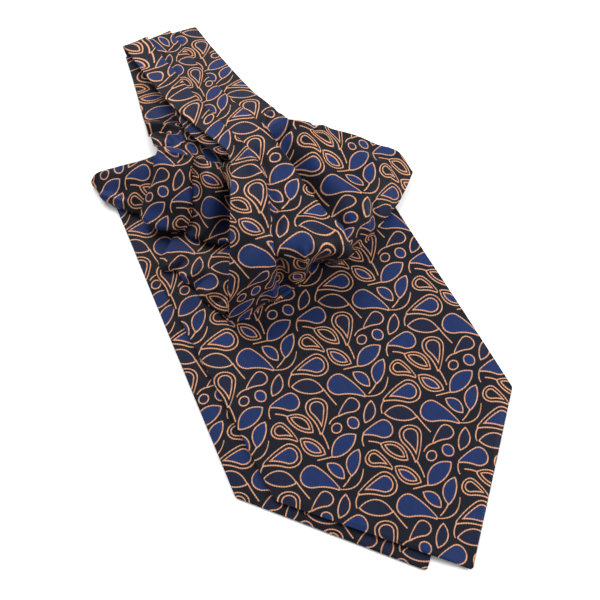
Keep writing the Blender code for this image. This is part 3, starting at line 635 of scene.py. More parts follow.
class Graph:
    """Adds nodes to a shader tree; each value is a number, a tuple or another node's socket."""

    def __init__(self, tree):
        self.tree = tree
        self.count = 0

    def node(self, kind, values=(), **settings):
        made = self.tree.nodes.new(kind)
        made.location = (180 * (self.count % 12), -170 * (self.count // 12))
        self.count += 1
        for key, value in settings.items():
            setattr(made, key, value)
        for slot, value in (values.items() if isinstance(values, dict) else enumerate(values)):
            if isinstance(value, bpy.types.NodeSocket):
                self.tree.links.new(value, made.inputs[slot])
            elif value is not None:
                made.inputs[slot].default_value = value
        return made

    def math(self, operation, *values):
        return self.node("ShaderNodeMath", values, operation=operation).outputs[0]

    def vector(self, operation, *values):
        made = self.node("ShaderNodeVectorMath", values, operation=operation)
        return made.outputs["Value" if operation in ("LENGTH", "DOT_PRODUCT") else "Vector"]

    def step(self, value, low, high):
        """1 below low, 0 above high, with a soft edge between them."""
        made = self.node("ShaderNodeMapRange", {"Value": value, "From Min": low, "From Max": high,
                                                "To Min": 1.0, "To Max": 0.0})
        return made.outputs["Result"]

    def mix(self, mask, a, b):
        made = self.node("ShaderNodeMix", {}, data_type="RGBA")
        for slot, value in ((0, mask), (6, a), (7, b)):
            if isinstance(value, bpy.types.NodeSocket):
                self.tree.links.new(value, made.inputs[slot])
            else:
                made.inputs[slot].default_value = value
        return made.outputs[2]


def new_group(name, inputs, outputs):
    """Shader node group with named sockets; gives its tree, its inputs by name and its outputs."""
    tree = bpy.data.node_groups.new(name, "ShaderNodeTree")
    for label, kind in inputs:
        tree.interface.new_socket(label, in_out="INPUT", socket_type=kind)
    for label, kind in outputs:
        tree.interface.new_socket(label, in_out="OUTPUT", socket_type=kind)
    entry = tree.nodes.new("NodeGroupInput")
    exit_node = tree.nodes.new("NodeGroupOutput")
    return tree, {s.name: s for s in entry.outputs if s.name}, exit_node


FLOAT, VECTOR = "NodeSocketFloat", "NodeSocketVector"


def motif_group(name, own, distance):
    """Shader group with the distance to one motif. Its place is moved to the motif's middle, wrapped
    to the repeat and turned; distance works out the rest from it and from the motif's own inputs."""
    labels = ("Turn", "Bend") + own
    tree, entry, out = new_group(name, (("Place", VECTOR), ("Middle", VECTOR)) + tuple(
        (label, FLOAT) for label in labels), (("Distance", FLOAT),))
    g = Graph(tree)
    half = (TILE / 2,) * 3
    moved = g.vector("SUBTRACT", entry["Place"], entry["Middle"])
    wrapped = g.vector("WRAP", moved, half, tuple(-v for v in half))
    turned = g.node("ShaderNodeVectorRotate", {"Vector": wrapped, "Angle": entry["Turn"]},
                    rotation_type="Z_AXIS").outputs[0]
    split = g.node("ShaderNodeSeparateXYZ", (turned,))
    tree.links.new(distance(g, entry, split.outputs[0], split.outputs[1]), out.inputs[0])
    return tree


def unbend(g, entry, x, y):
    """Straightens a motif whose middle line is a parabola."""
    return g.math("MULTIPLY_ADD", g.math("MULTIPLY", x, x), entry["Bend"], y)


def drop_distance(g, entry, x, y):
    """Distance to a drop: a round cone, whose nearest ball slides along its middle line."""
    x = g.math("MULTIPLY_ADD", entry["Length"], DROP_MIDDLE, x)
    y = unbend(g, entry, x, y)
    ball = g.math("MULTIPLY_ADD", g.math("ABSOLUTE", y), entry["Lean"], x)
    ball = g.math("MINIMUM", g.math("MAXIMUM", ball, 0.0), entry["Length"])
    away = g.node("ShaderNodeCombineXYZ", (g.math("SUBTRACT", x, ball), y)).outputs[0]
    size = g.math("MULTIPLY_ADD", ball, entry["Narrowing"], entry["Radius"])
    return g.math("SUBTRACT", g.vector("LENGTH", away), size)


def leaf_distance(g, entry, x, y):
    """Distance to a leaf: where two equal circles overlap."""
    y = g.math("ABSOLUTE", g.math("ADD", unbend(g, entry, x, y), entry["Lower"]))
    away = g.node("ShaderNodeCombineXYZ", (x, g.math("ADD", y, entry["Offset"]))).outputs[0]
    return g.math("SUBTRACT", g.vector("LENGTH", away), entry["Radius"])


def stem_distance(g, entry, x, y):
    """Distance to a short stem: a line of no width with round ends."""
    y = g.math("ADD", unbend(g, entry, x, y), entry["Lower"])
    x = g.math("MAXIMUM", g.math("SUBTRACT", g.math("ABSOLUTE", x), entry["Half Length"]), 0.0)
    return g.vector("LENGTH", g.node("ShaderNodeCombineXYZ", (x, y)).outputs[0])


def make_pattern_group():
    """Woven pattern of drops, leaves and stems in a half-drop repeat. It gives the distance to the
    nearest outline, and the distances to the nearest blue and navy figures, negative inside."""
    tree, entry, out = new_group("cravat pattern", (("Place", VECTOR),), (
        ("Outline", FLOAT), ("Blue", FLOAT), ("Navy", FLOAT)))
    g = Graph(tree)
    place = g.node("ShaderNodeVectorRotate", {"Vector": entry["Place"],
                                              "Angle": math.radians(TILE_TURN)},
                   rotation_type="Z_AXIS").outputs[0]
    drop = motif_group("cravat drop", ("Length", "Radius", "Lean", "Narrowing"), drop_distance)
    leaf = motif_group("cravat leaf", ("Lower", "Offset", "Radius"), leaf_distance)
    stem = motif_group("cravat stem", ("Lower", "Half Length"), stem_distance)
    nearest = {}

    def keep(name, value):
        nearest[name] = g.math("MINIMUM", nearest[name], value) if name in nearest else value

    def figure(tree_used, middle, turn, values, fill, gap):
        made = g.node("ShaderNodeGroup", node_tree=tree_used)
        tree.links.new(place, made.inputs["Place"])
        made.inputs["Middle"].default_value = (*middle, 0.0)
        made.inputs["Turn"].default_value = -math.radians(turn)
        for label, value in values.items():
            made.inputs[label].default_value = value
        distance = made.outputs["Distance"]
        keep("outline", g.math("ABSOLUTE", distance) if fill else distance)
        if gap:
            distance = g.math("ADD", distance, gap)
            keep("outline", g.math("ABSOLUTE", distance))
        if fill in ("blue", "navy"):
            keep(fill, distance)

    for middle, turn, length, big, small, bend, fill, gap in DROPS:
        narrow = (big - small) / length
        figure(drop, middle, turn, {
            "Bend": -bend, "Length": length, "Radius": big, "Narrowing": -narrow,
            "Lean": -narrow / math.sqrt(1 - narrow ** 2)}, fill, gap)
    for middle, turn, half, width, bend, fill, gap in LEAVES:
        offset = (half ** 2 - width ** 2) / (2 * width)
        figure(leaf, middle, turn, {"Bend": -bend, "Lower": bend * half ** 2 / 3, "Offset": offset,
                                    "Radius": offset + width}, fill, gap)
    for middle, turn, length, bend in STEMS:
        figure(stem, middle, turn, {"Bend": -bend, "Lower": bend * length ** 2 / 12,
                                    "Half Length": length / 2}, "", 0.0)
    for label, name in (("Outline", "outline"), ("Blue", "blue"), ("Navy", "navy")):
        tree.links.new(nearest[name], out.inputs[label])
    return tree


def make_weave_group():
    """Fine satin ribs that run up the cloth, and the slanting floats of the outline threads: waves
    for the bump and roughness, and for painted shade on the ribs and painted highlights on the
    floats.
    """
    tree, entry, out = new_group("cravat weave", (
        ("Place", VECTOR), ("Rib", FLOAT), ("Slant", FLOAT), ("Float", FLOAT)), (
        ("Ribs", FLOAT), ("Floats", FLOAT), ("Slubs", FLOAT)))
    g = Graph(tree)
    split = g.node("ShaderNodeSeparateXYZ", (entry["Place"],))
    x, y = split.outputs[0], split.outputs[1]
    slanting = g.math("MULTIPLY_ADD", x, entry["Slant"], y)
    waves = []
    for value, spacing in ((slanting, "Rib"), (g.math("SUBTRACT", x, y), "Float")):
        angle = g.math("DIVIDE", g.math("MULTIPLY", value, 2 * math.pi), entry[spacing])
        waves.append(g.math("MULTIPLY_ADD", g.math("SINE", angle), 0.5, 0.5))
    stretched = g.vector("MULTIPLY", entry["Place"], SLUB_STRETCH)
    slubs = g.node("ShaderNodeTexNoise", {"Vector": stretched, "Scale": 1.0, "Detail": 1.0})
    tree.links.new(waves[0], out.inputs["Ribs"])
    tree.links.new(waves[1], out.inputs["Floats"])
    tree.links.new(slubs.outputs[0], out.inputs["Slubs"])
    return tree


def make_silk(sizes):
    """Jacquard silk: satin ground, matt blue and navy figures and copper outlines, in one shader,
    with painted shade on the satin ribs and painted highlights along the outline floats.
    """
    material = bpy.data.materials.new("silk jacquard")
    material.use_nodes = True
    tree = material.node_tree
    g = Graph(tree)
    shader = tree.nodes["Principled BSDF"]
    place = g.node("ShaderNodeUVMap", uv_map=CLOTH_MAP).outputs[0]
    weave_step = sizes.thread / MM
    woven = g.vector("SNAP", place, (weave_step, weave_step, 1.0))
    pattern = g.node("ShaderNodeGroup", node_tree=make_pattern_group())
    tree.links.new(woven, pattern.inputs["Place"])
    weave = g.node("ShaderNodeGroup", node_tree=make_weave_group())
    tree.links.new(place, weave.inputs["Place"])
    weave.inputs["Rib"].default_value = sizes.rib / MM
    weave.inputs["Slant"].default_value = RIB_SLANT
    weave.inputs["Float"].default_value = sizes.float_step / MM * math.sqrt(2)
    half = sizes.outline / MM / 2
    outline = g.step(pattern.outputs["Outline"], half - OUTLINE_BLEND, half + OUTLINE_BLEND)
    blue = g.step(pattern.outputs["Blue"], -FIGURE_BLEND, FIGURE_BLEND)
    navy = g.step(pattern.outputs["Navy"], -FIGURE_BLEND, FIGURE_BLEND)
    color = g.mix(navy, (*sizes.ground, 1), (*sizes.navy, 1))
    color = g.mix(blue, color, (*sizes.blue, 1))
    slubs = g.math("MULTIPLY_ADD", weave.outputs["Slubs"], *SLUB_SHADE)
    # painted shade: satin rib crests lighter than their sides, times the slubs' own uneven tone
    painted_rib_shade_and_slubs = g.math("MULTIPLY", g.math("MULTIPLY_ADD", weave.outputs["Ribs"], *RIB_PAINTED_SHADE), slubs)
    # painted highlight and shade along the slanting floats of the copper outline threads
    painted_float_light = g.math("MULTIPLY_ADD", weave.outputs["Floats"], *FLOAT_PAINTED_LIGHT)
    # painted light over the silk's colours: the floats' highlights on the outlines, the ribs' shade
    # elsewhere
    tone_and_painted_shade = g.math("ADD", g.math("MULTIPLY", g.math("SUBTRACT", painted_float_light, painted_rib_shade_and_slubs), outline), painted_rib_shade_and_slubs)
    color = g.mix(outline, color, (*sizes.copper, 1))
    color = g.vector("SCALE", color, None, None, tone_and_painted_shade)
    tree.links.new(color, shader.inputs["Base Color"])
    tree.links.new(g.math("MULTIPLY", outline, OUTLINE_METAL), shader.inputs["Metallic"])
    rough = g.math("MULTIPLY_ADD", outline, *OUTLINE_ROUGHNESS)
    tree.links.new(g.math("MULTIPLY_ADD", weave.outputs["Ribs"], RIB_ROUGHNESS, rough),
                   shader.inputs["Roughness"])
    bump = g.node("ShaderNodeBump", {"Strength": BUMP_STRENGTH, "Distance": BUMP_HEIGHT,
                                     "Height": weave.outputs["Ribs"]})
    tree.links.new(bump.outputs[0], shader.inputs["Normal"])
    shader.inputs["Specular IOR Level"].default_value = 0.08
    shader.inputs["Sheen Weight"].default_value = 0.01
    shader.inputs["Sheen Roughness"].default_value = 0.40
    return material


def silk():
    """The one silk material, made the first time it is asked for."""
    return bpy.data.materials.get("silk jacquard") or make_silk(bpy.context.scene.cravat_silk)


# ---------------------------------------------------------------------------------------- settings
def color_setting(name, what, value):
    return bpy.props.FloatVectorProperty(name=name, description=what, subtype="COLOR", size=3,
                                         min=0, max=1, default=value)


def number_setting(name, what, unit, value):
    return bpy.props.FloatProperty(name=name, description=what, unit=unit, default=value)


class CravatSilk(bpy.types.PropertyGroup):
    """Colours and thread sizes of the silk"""
    ground: color_setting("Ground", "Colour of the satin ground", (0.0068, 0.0076, 0.0125))
    blue: color_setting("Blue", "Colour of the bright figures", (0.0096, 0.0212, 0.0800))
    navy: color_setting("Navy", "Colour of the dark figures", (0.0085, 0.0115, 0.0300))
    copper: color_setting("Copper", "Colour of the outline threads", (0.490, 0.245, 0.142))
    outline: number_setting("Outline", "Width of a woven outline", "LENGTH", 0.00066)
    rib: number_setting("Rib", "Spacing of the satin ribs", "LENGTH", 0.00062)
    float_step: number_setting("Float", "Spacing of the outline threads' slanting floats",
                               "LENGTH", 0.0013)
    thread: number_setting("Thread", "Step of the woven pattern's edges", "LENGTH", 0.00020)


class CravatStage(bpy.types.PropertyGroup):
    """Colour of the floor and strength of the lights"""
    floor: color_setting("Floor", "Colour of the floor", (0.96, 0.96, 0.96))
    sky: number_setting("Sky", "Strength of the light from all sides", "NONE", 0.50)
    key: number_setting("Back light", "Power of the large soft light beyond the neckband",
                        "POWER", 14.5)
    fill: number_setting("Side light", "Power of the soft light at the right", "POWER", 15.0)


# --------------------------------------------------------------------------------------- the blades
def soft_min(a, b, width):
    """Smaller of two values, with the corner between them rounded over the given width."""
    h = np.clip(0.5 + (b - a) / (2 * width), 0, 1)
    return b * (1 - h) + a * h - width * h * (1 - h)


def blade_plan(blade, end, v, f):
    """Plan of a pointed blade: v runs from its tip (0) to its folded end (1), f from edge to edge.
    Each half width grows in a straight line from the tip to its shoulder, with rounded corners."""
    ends = np.array(end, float)
    far = v[:, None] * BLADE_LENGTH
    left = soft_min(blade["left"] * far / blade["rise_left"], blade["left"], CORNER)
    right = soft_min(blade["right"] * far / blade["rise_right"], blade["right"], CORNER)
    across = np.where(f[None, :] < 0, f[None, :] * left, f[None, :] * right)
    top = np.interp(across, ends[:, 0], ends[:, 1])
    end_share = np.maximum(far - BLADE_JOIN, 0) / (BLADE_LENGTH - BLADE_JOIN)
    along = np.minimum(far, BLADE_JOIN) + (top - BLADE_JOIN) * end_share
    return across, along


def to_frame(blade, across, along):
    """Plan in the shared frame: turned about the blade's tip and moved to it."""
    c, s = math.cos(blade["turn"]), math.sin(blade["turn"])
    return (blade["tip"][0] + across * c + along * s, blade["tip"][1] - across * s + along * c)


def past_blade(blade, x, y):
    """How far a point lies outside a blade's right side and point, negative inside it."""
    dx, dy = x - blade["tip"][0], y - blade["tip"][1]
    c, s = math.cos(blade["turn"]), math.sin(blade["turn"])
    across, along = dx * c - dy * s, dx * s + dy * c
    lean = math.atan2(blade["right"], blade["rise_right"])
    return np.maximum(across - blade["right"],
                      np.abs(across) * math.cos(lean) - along * math.sin(lean))


def make_blade(name, blade, end, lies_on, shift):
    """Blade of doubled silk: two flat faces and a half-round folded edge all round. Where it lies on
    another blade it is raised by that one, with slow unevenness and lifted free edges."""
    tip, shoulder = 0.004, 0.36
    v = np.concatenate([np.linspace(tip, shoulder, 90), np.linspace(shoulder, 1, 110)[1:]])
    f = np.sin(np.linspace(-1, 1, 110) * math.pi / 2)
    across, along = blade_plan(blade, end, v, f)
    x, y = to_frame(blade, across, along)
    under = np.zeros_like(x)
    if lies_on:
        under = (BLADE_WALL + BLADE_GAP) * (1 - ease(past_blade(lies_on, x, y), *BLADE_DROP))
        lift, height, size = BLADE_WAVES
        waves = soft_waves(np.dstack([x, y]), height, size)
        under += (1 - ease(y, *FAN_EDGE)) * (lift + waves)
        edge = np.minimum(across - across[:, :1], across[:, -1:] - across)
        free = 1 - ease(y - np.where(f < 0, BLADE_FREE_LEFT, 0)[None, :], *FAN_EDGE)
        under += BLADE_LIFT * free * (1 - ease(edge, 0, BLADE_LIFT_WIDTH))
    grown = ease(1 - np.abs(f), 0, BLADE_THINS)
    wall = BLADE_WALL * (BLADE_THIN + (1 - BLADE_THIN) * grown)[None, :]
    middle = under + BLADE_WALL / 2
    outer = np.dstack([x, y, middle + wall / 2])
    inner = np.dstack([x, y, middle - wall / 2])
    flat = np.dstack([across + shift[0], along + shift[1]])
    return shell(name, outer, inner, flat)


class CRAVAT_OT_blades(bpy.types.Operator):
    """Make the front and back blades"""
    bl_idname = "cravat.blades"
    bl_label = "Make blades"

    def execute(self, context):
        back = make_blade("back_blade_silk", BACK_BLADE, BACK_BLADE_END, None, BACK_BLADE_SHIFT)
        finish_piece(back, "back_blade")
        front = make_blade("front_blade_silk", FRONT_BLADE, FRONT_BLADE_END, BACK_BLADE,
                           FRONT_BLADE_SHIFT)
        finish_piece(front, "front_blade")
        return {"FINISHED"}


# ------------------------------------------------------------------------------------------- fans
# Knife pleats: panel, height at the top, height below, t by which the pleat has opened.
FRONT_PLEATS = ((0, 1.9, 2.0, 1.30), (1, 1.9, 3.4, 1.30))
BACK_PLEATS = ((0, 1.4, 1.8, 1.3),)
FRONT_FOLDS = (  # beside place, from t, to t, distance there, left width, right width, height
    (1, 0.05, 0.80, -1.2, -2.0, 5.0, 2.0, 1.8),
    (1, 0.05, 0.85, 2.4, 3.6, 2.0, 4.0, -2.6),
    (2, 0.00, 1.10, -2.0, -3.5, 8.0, 3.0, 2.4),
    (2, 0.02, 0.88, 3.0, 5.5, 2.8, 10.0, -8.5),
    (2, 0.20, 1.00, 16.0, 26.0, 8.0, 12.0, 1.6),
)
FRONT_CREASES = (  # x, y of one end, x, y of the other, width on its left, width on its right, height
    (37.0, 184.5, 20.0, 177.0, 1.4, 3.0, -2.4),
    (52.0, 188.0, 46.5, 174.0, 2.6, 1.6, -1.5),
    (57.0, 186.0, 50.0, 168.0, 3.0, 3.0, 1.1),
    (44.0, 172.0, 76.0, 142.0, 5.0, 4.0, 1.6, 3.0),
    (40.0, 163.0, 62.0, 136.0, 4.0, 5.0, -1.6),
    (-8.5, 108.0, -17.0, 102.0, 4.0, 5.5, -5.0),
    (3.0, 110.0, -7.0, 102.5, 1.8, 1.8, 2.2, 1.0),
    (6.0, 122.0, 6.5, 106.0, 3.5, 4.0, 1.8),
    (30.5, 124.0, 21.5, 106.0, 2.0, 4.5, 2.4),
    (36.0, 122.0, 29.5, 105.5, 3.5, 3.0, -2.6),
    (50.0, 124.0, 46.0, 110.0, 3.0, 3.0, 1.6),
    (58.5, 127.0, 56.5, 114.0, 2.2, 2.2, -1.8),
)
CUFF = ((26.5, 189.6, 9.2, 2.6),)   # x, y, radius and height of the rounded end of the band's fold
FRONT_STEPS = ((90.0, 158.0, 66.5, 115.5, 0.9, 0.3, 1.4),)
BACK_STEPS = ((-10.0, 204.0, -15.5, 164.0, 3.0, 7.0, 7.0),)
BACK_FOLDS = (
    (0, 0.00, 1.10, 3.0, 5.0, 3.0, 5.0, 0.9),
    (1, 0.00, 0.90, -1.0, -2.5, 4.0, 2.0, 1.0),
    (1, 0.05, 1.00, 3.0, 4.5, 3.0, 4.5, -1.8),
    (1, 0.05, 1.10, 11.0, 13.0, 4.5, 4.5, 1.4),
    (2, 0.25, 0.97, -2.0, -3.0, 5.5, 6.0, -7.0),
)
BACK_CREASES = (
    (-38.5, 213.0, -24.5, 203.0, 1.4, 1.6, 0.9),
    (-39.5, 210.5, -27.0, 200.5, 1.2, 1.2, -0.8),
)
BACK_WING_CREASES = (
    (-84.0, 219.5, -68.0, 201.0, 1.6, 2.6, -2.2),
    (-87.0, 217.0, -72.0, 198.0, 2.4, 1.6, 1.5),
    (-74.0, 214.0, -58.0, 206.0, 4.0, 4.0, 0.8),
)
LEFT_WING_CREASES = (
    (-70.0, 153.5, -58.0, 150.0, 2.2, 2.6, 1.6),
    (-66.0, 146.0, -52.0, 151.0, 2.6, 2.2, -1.5),
    (-64.0, 139.0, -48.0, 141.0, 3.2, 3.0, 1.3),
    (-60.5, 131.0, -46.0, 134.0, 2.4, 2.4, -1.2),
    (-58.0, 124.5, -45.0, 125.0, 2.4, 2.6, 1.1),
    (-55.0, 117.5, -44.0, 117.5, 1.8, 1.8, -1.0),
)


def fan_rows(count, rolled):
    """Values of t down a cloth (0 to 1) and round its rolled edge or its turn (1 to 2)."""
    return np.concatenate([np.linspace(0, 1, count), 1 + np.linspace(0, 1, rolled)[1:]])


def front_fan_cloth():
    """Upper half's fan: three panels between two knife pleats."""
    surface = fan_surface(FRONT_FAN, FRONT_FAN_HEM, FRONT_FAN_BULGE)
    return Cloth(
        surface, fan_rows(130, 18), pleat_columns((50, 60, 90)), FAN_WALL, pleats=FRONT_PLEATS,
        folds=FRONT_FOLDS, creases=FRONT_CREASES, steps=FRONT_STEPS, bumps=CUFF)


def back_fan_cloth():
    """Lower half's fan: two panels with one knife pleat between them."""
    surface = fan_surface(BACK_FAN, BACK_FAN_HEM, BACK_FAN_BULGE, BACK_ROLL_OUT)
    return Cloth(
        surface, fan_rows(110, 16), pleat_columns((60, 70)), FAN_WALL, pleats=BACK_PLEATS,
        folds=BACK_FOLDS, creases=BACK_CREASES, steps=BACK_STEPS)


class CRAVAT_OT_front_fan(bpy.types.Operator):
    """Make the upper half's puffed fan, the cloth under its left fold and its left wing"""
    bl_idname = "cravat.front_fan"
    bl_label = "Make front fan"

    def execute(self, context):
        fan = front_fan_cloth()
        finish_piece(fan.build("front_fan_silk", FRONT_SHIFT), "front_fan")
        finish_piece(make_side(fan.surface), "front_fan_side")
        finish_piece(make_left_wing(), "front_fan_left_wing")
        return {"FINISHED"}


def make_side(surface):
    """Cloth that turns down under the fan's left fold: each point of the fold dropped to its foot
    along a profile that leans in, with one soft ledge that fades down the fan."""
    t = np.linspace(0, SIDE_END, 90)
    fold = surface(t, np.array([0.0]))[:, 0]
    fold[:, 2] -= FAN_WALL + SIDE_GAP
    ahead = np.gradient(fold[:, :2], axis=0)
    side = unit(np.stack([-ahead[:, 1], ahead[:, 0]], axis=1))
    down = np.linspace(0, 1, 70)
    lean, ledge = table_curve(SIDE_LEDGE, down).T
    reach = SIDE_REACH * (1 - ease(t, *SIDE_REACH_ENDS))
    grid = np.repeat(fold[:, None], len(down), axis=1)
    grid[:, :, :2] += side[:, None] * (lean[None] - ledge[None] * reach[:, None])[:, :, None]
    grid[:, :, 2] += (SIDE_FOOT - fold[:, 2])[:, None] * down[None]
    folds = SIDE_WAVES * np.sin(down * 7 + t[:, None] * 5) * np.sin(math.pi * down)
    grid[:, :, :2] += side[:, None] * folds[:, :, None]
    inner = grid.copy()
    inner[:, :, :2] += side[:, None] * FAN_WALL
    run = np.concatenate([[0], np.cumsum(np.linalg.norm(np.diff(fold, axis=0), axis=1))])
    drop = (fold[:, 2] - SIDE_FOOT)[:, None] * down[None] + (ledge[None] * reach[:, None])
    flat = np.dstack([-drop, np.repeat(-run[:, None], len(down), axis=1)]) + SIDE_SHIFT
    return shell("front_fan_side_silk", grid, inner, flat)


def make_left_wing():
    """Left wing of the front fan, which lies flat and turns under along its outer edge."""
    t = np.linspace(0, 1, 90)
    place = np.linspace(0, 2, 60)
    upper = across_sections(FRONT_LEFT_WING, t, place)
    edge = table_curve(LEFT_WING_EDGE, t)
    ahead = table_curve(LEFT_WING_EDGE, t + 0.02) - table_curve(LEFT_WING_EDGE, t - 0.02)
    out = unit(np.stack([ahead[:, 1], -ahead[:, 0]], axis=1))
    cols = [upper]
    for step, height in LEFT_WING_ROLL:
        raised = np.full(len(t), height)[:, None]
        cols.append((edge + np.hstack([out * step, raised]))[:, None])
    grid = np.concatenate(cols, axis=1)
    normal = unit(np.cross(np.gradient(grid, axis=1), np.gradient(grid, axis=0)))
    normal *= np.sign(normal[:, :1, 2:].mean())
    grid = grid + normal * crease_rise(grid, LEFT_WING_CREASES)[:, :, None]
    laid = upper[:, :, :2]
    step = np.linalg.norm(np.diff(grid[:, len(place) - 1:], axis=1), axis=2)
    rolled = laid[:, -1:] + out[:, None] * np.cumsum(step, axis=1)[:, :, None]
    laid = np.concatenate([laid, rolled], axis=1)
    inner = grid - normal * WING_WALL
    return shell("front_fan_left_wing_silk", grid, inner, laid + LEFT_WING_SHIFT)


class CRAVAT_OT_back_fan(bpy.types.Operator):
    """Make the lower half's fan and its left wing"""
    bl_idname = "cravat.back_fan"
    bl_label = "Make back fan"

    def execute(self, context):
        finish_piece(back_fan_cloth().build("back_fan_silk", BACK_SHIFT), "back_fan")
        surface = fan_surface(BACK_WING, BACK_WING_HEM, BACK_WING_BULGE, BACK_WING_ROLL_OUT)
        t = fan_rows(80, 14)
        wing = Cloth(surface, t[t < BACK_WING_ROLLED], plain_columns(0, 1, 80), WING_WALL,
                     waves=BACK_WING_WAVES, creases=BACK_WING_CREASES)
        finish_piece(wing.build("back_fan_wing_silk", BACK_WING_SHIFT), "back_fan_wing")
        return {"FINISHED"}


# --------------------------------------------------------------------------------------- neckband
def band_surface(table, first, second):
    """Neckband as a surface of t and place: rows from the table, with the two pleats' places across
    it; past t = 1 the upper band turns over by a half circle. The first pleat may change its place
    from row to row."""
    knots = np.array([row[0] for row in table])
    ends = np.array([row[1:3] for row in table], float)
    first = np.broadcast_to(first, knots.shape)

    def surface(t, place):
        t = np.asarray(t, float)
        rows = smooth(knots, ends, np.minimum(t, 1))
        bounds = np.stack([np.zeros_like(t), np.interp(t, knots, first), np.full_like(t, second),
                           np.ones_like(t)], axis=1)
        low = np.clip(np.floor(place).astype(int), 0, 2)
        f = bounds[:, low] + (bounds[:, low + 1] - bounds[:, low]) * (place - low)[None, :]
        grid = rows[:, :1] * (1 - f[:, :, None]) + rows[:, 1:] * f[:, :, None]
        over = t > 1
        angle = np.clip(t[over, None] - 1, 0, 1) * math.radians(TURN_ANGLE)
        grid[over, :, 1] += TURN_RADIUS * np.sin(angle)
        grid[over, :, 0] -= 0.02 * TURN_RADIUS * np.sin(angle)
        grid[over, :, 2] = (TURN_RADIUS + 0.05) * (1 + np.cos(angle))
        return grid
    return surface


def lower_place(place):
    """Place across the back fan where the lower neckband's place meets it."""
    first, second = LOWER_PLEATS
    share = np.interp(place, (0, 1, 2, 3), (0, first, second, 1))
    return np.where(share < first, share / first, 1 + (share - first) / (1 - first))


UPPER_BAND_PLEATS = ((0, 1.9, 1.9, 1.9), (1, 1.9, 1.9, 1.9))
LOWER_BAND_PLEATS = ((0, 1.4, 1.4, 3.0), (1, 1.8, 1.8, 1.0))
UPPER_MEETS, LOWER_MEETS = (0.0, 0.14), (0.87, 1.0)   # t over which each band goes on from its fan
BAND_FOLDS = ((1, 0.16, 1.8, 1.4, 1.4, 0.7, 1.8, -0.8), (2, 0.16, 1.8, 1.4, 1.4, 0.7, 1.8, -0.8))
BAND_CREASES = (
    (21.0, 191.0, 37.0, 197.5, 1.4, 1.4, -1.1),
    (20.0, 194.5, 36.0, 201.0, 2.0, 2.2, 0.8),
)
LOWER_STEPS = ((-14.0, 258.0, -10.5, 204.0, 3.0, 0.3, 7.0),)
LOWER_BAND_CREASES = (
    (-42.0, 243.0, -19.0, 215.0, 4.5, 1.3, 2.6, 6.0),
    (-45.0, 240.0, -27.0, 228.0, 1.2, 2.6, -3.6, 2.0),
    (-36.0, 233.0, -26.5, 216.0, 2.4, 1.2, 2.4, 1.0),
    (-41.0, 228.0, -30.0, 216.0, 1.2, 2.0, -2.4),
    (-25.5, 224.0, -24.0, 205.0, 0.9, 0.9, 0.8),
    (-21.8, 225.0, -21.0, 205.0, 0.9, 0.9, 0.9),
    (-36.5, 222.0, -24.0, 209.5, 1.2, 1.2, -1.1),
    (-36.0, 219.0, -25.0, 205.5, 1.2, 1.6, 1.2),
)


class CRAVAT_OT_neckband(bpy.types.Operator):
    """Make the pleated neckband, upper and lower, and the layer that shows under its edge"""
    bl_idname = "cravat.neckband"
    bl_label = "Make neckband"

    def execute(self, context):
        surface = band_surface(BAND_UPPER, [row[3] for row in BAND_UPPER], UPPER_SECOND_PLEAT)
        t = fan_rows(126, 30)[::-1]
        columns = pleat_columns((26, 26, 26))
        upper = Cloth(surface, t, columns, BAND_WALL, waves=BAND_WAVES, up=-1, bumps=CUFF,
                      pleats=UPPER_BAND_PLEATS, creases=BAND_CREASES, folds=BAND_FOLDS,
                      meet=(front_fan_cloth(), 1 - ease(t, *UPPER_MEETS), lambda place: place))
        finish_piece(upper.build("neckband_upper_silk", FRONT_SHIFT), "neckband_upper")
        t = np.linspace(0, 1, 110)
        lower = Cloth(band_surface(BAND_LOWER, *LOWER_PLEATS), t, columns, BAND_WALL,
                      waves=BAND_WAVES, pleats=LOWER_BAND_PLEATS, creases=LOWER_BAND_CREASES,
                      steps=LOWER_STEPS,
                      meet=(back_fan_cloth(), ease(t, *LOWER_MEETS), lower_place))
        finish_piece(lower.build("neckband_lower_silk", BACK_SHIFT), "neckband_lower")
        finish_piece(make_under_layer(surface), "neckband_pleat")
        return {"FINISHED"}


def make_under_layer(surface):
    """Under layer of the first pleat: the band's first strip moved down by its wall and out past
    the band's edge by half a sine wave."""
    t = np.linspace(0, UNDER_LAYER_END, 70)
    place = np.linspace(0, 1, 30)
    layer = surface(t, place)
    normal = unit(np.cross(np.gradient(layer, axis=1), np.gradient(layer, axis=0)))
    normal *= np.sign(normal[..., 2:].mean())
    under = layer - normal * UNDER_LAYER_DROP
    slip = np.sin(np.pi * np.clip(0.12 + t / 0.5, 0, 1)) ** 0.7
    under[:, :, 0] -= PLEAT_SHOWS * slip[:, None] * (1 - place)[None, :] + 0.2
    under[:, :, 2] -= UNDER_LAYER_SAG * slip[:, None] * ((1 - place) ** 2)[None, :]
    flat = np.dstack(np.meshgrid(place * STRIP_WIDTH, t * BAND_RUN)) + UNDER_LAYER_SHIFT
    return shell("neckband_pleat_silk", under, under - normal * UNDER_LAYER_WALL, flat)


# ----------------------------------------------------------------------------------- folded layers
def drawn_in(ring, centre, share, rise=0.0):
    """A ring drawn in to a share of its size, and raised as it goes."""
    made = ring.copy()
    made[:, :, :2] = centre + (made[:, :, :2] - centre) * share
    made[:, :, 2] += rise * (1 - share)
    return made


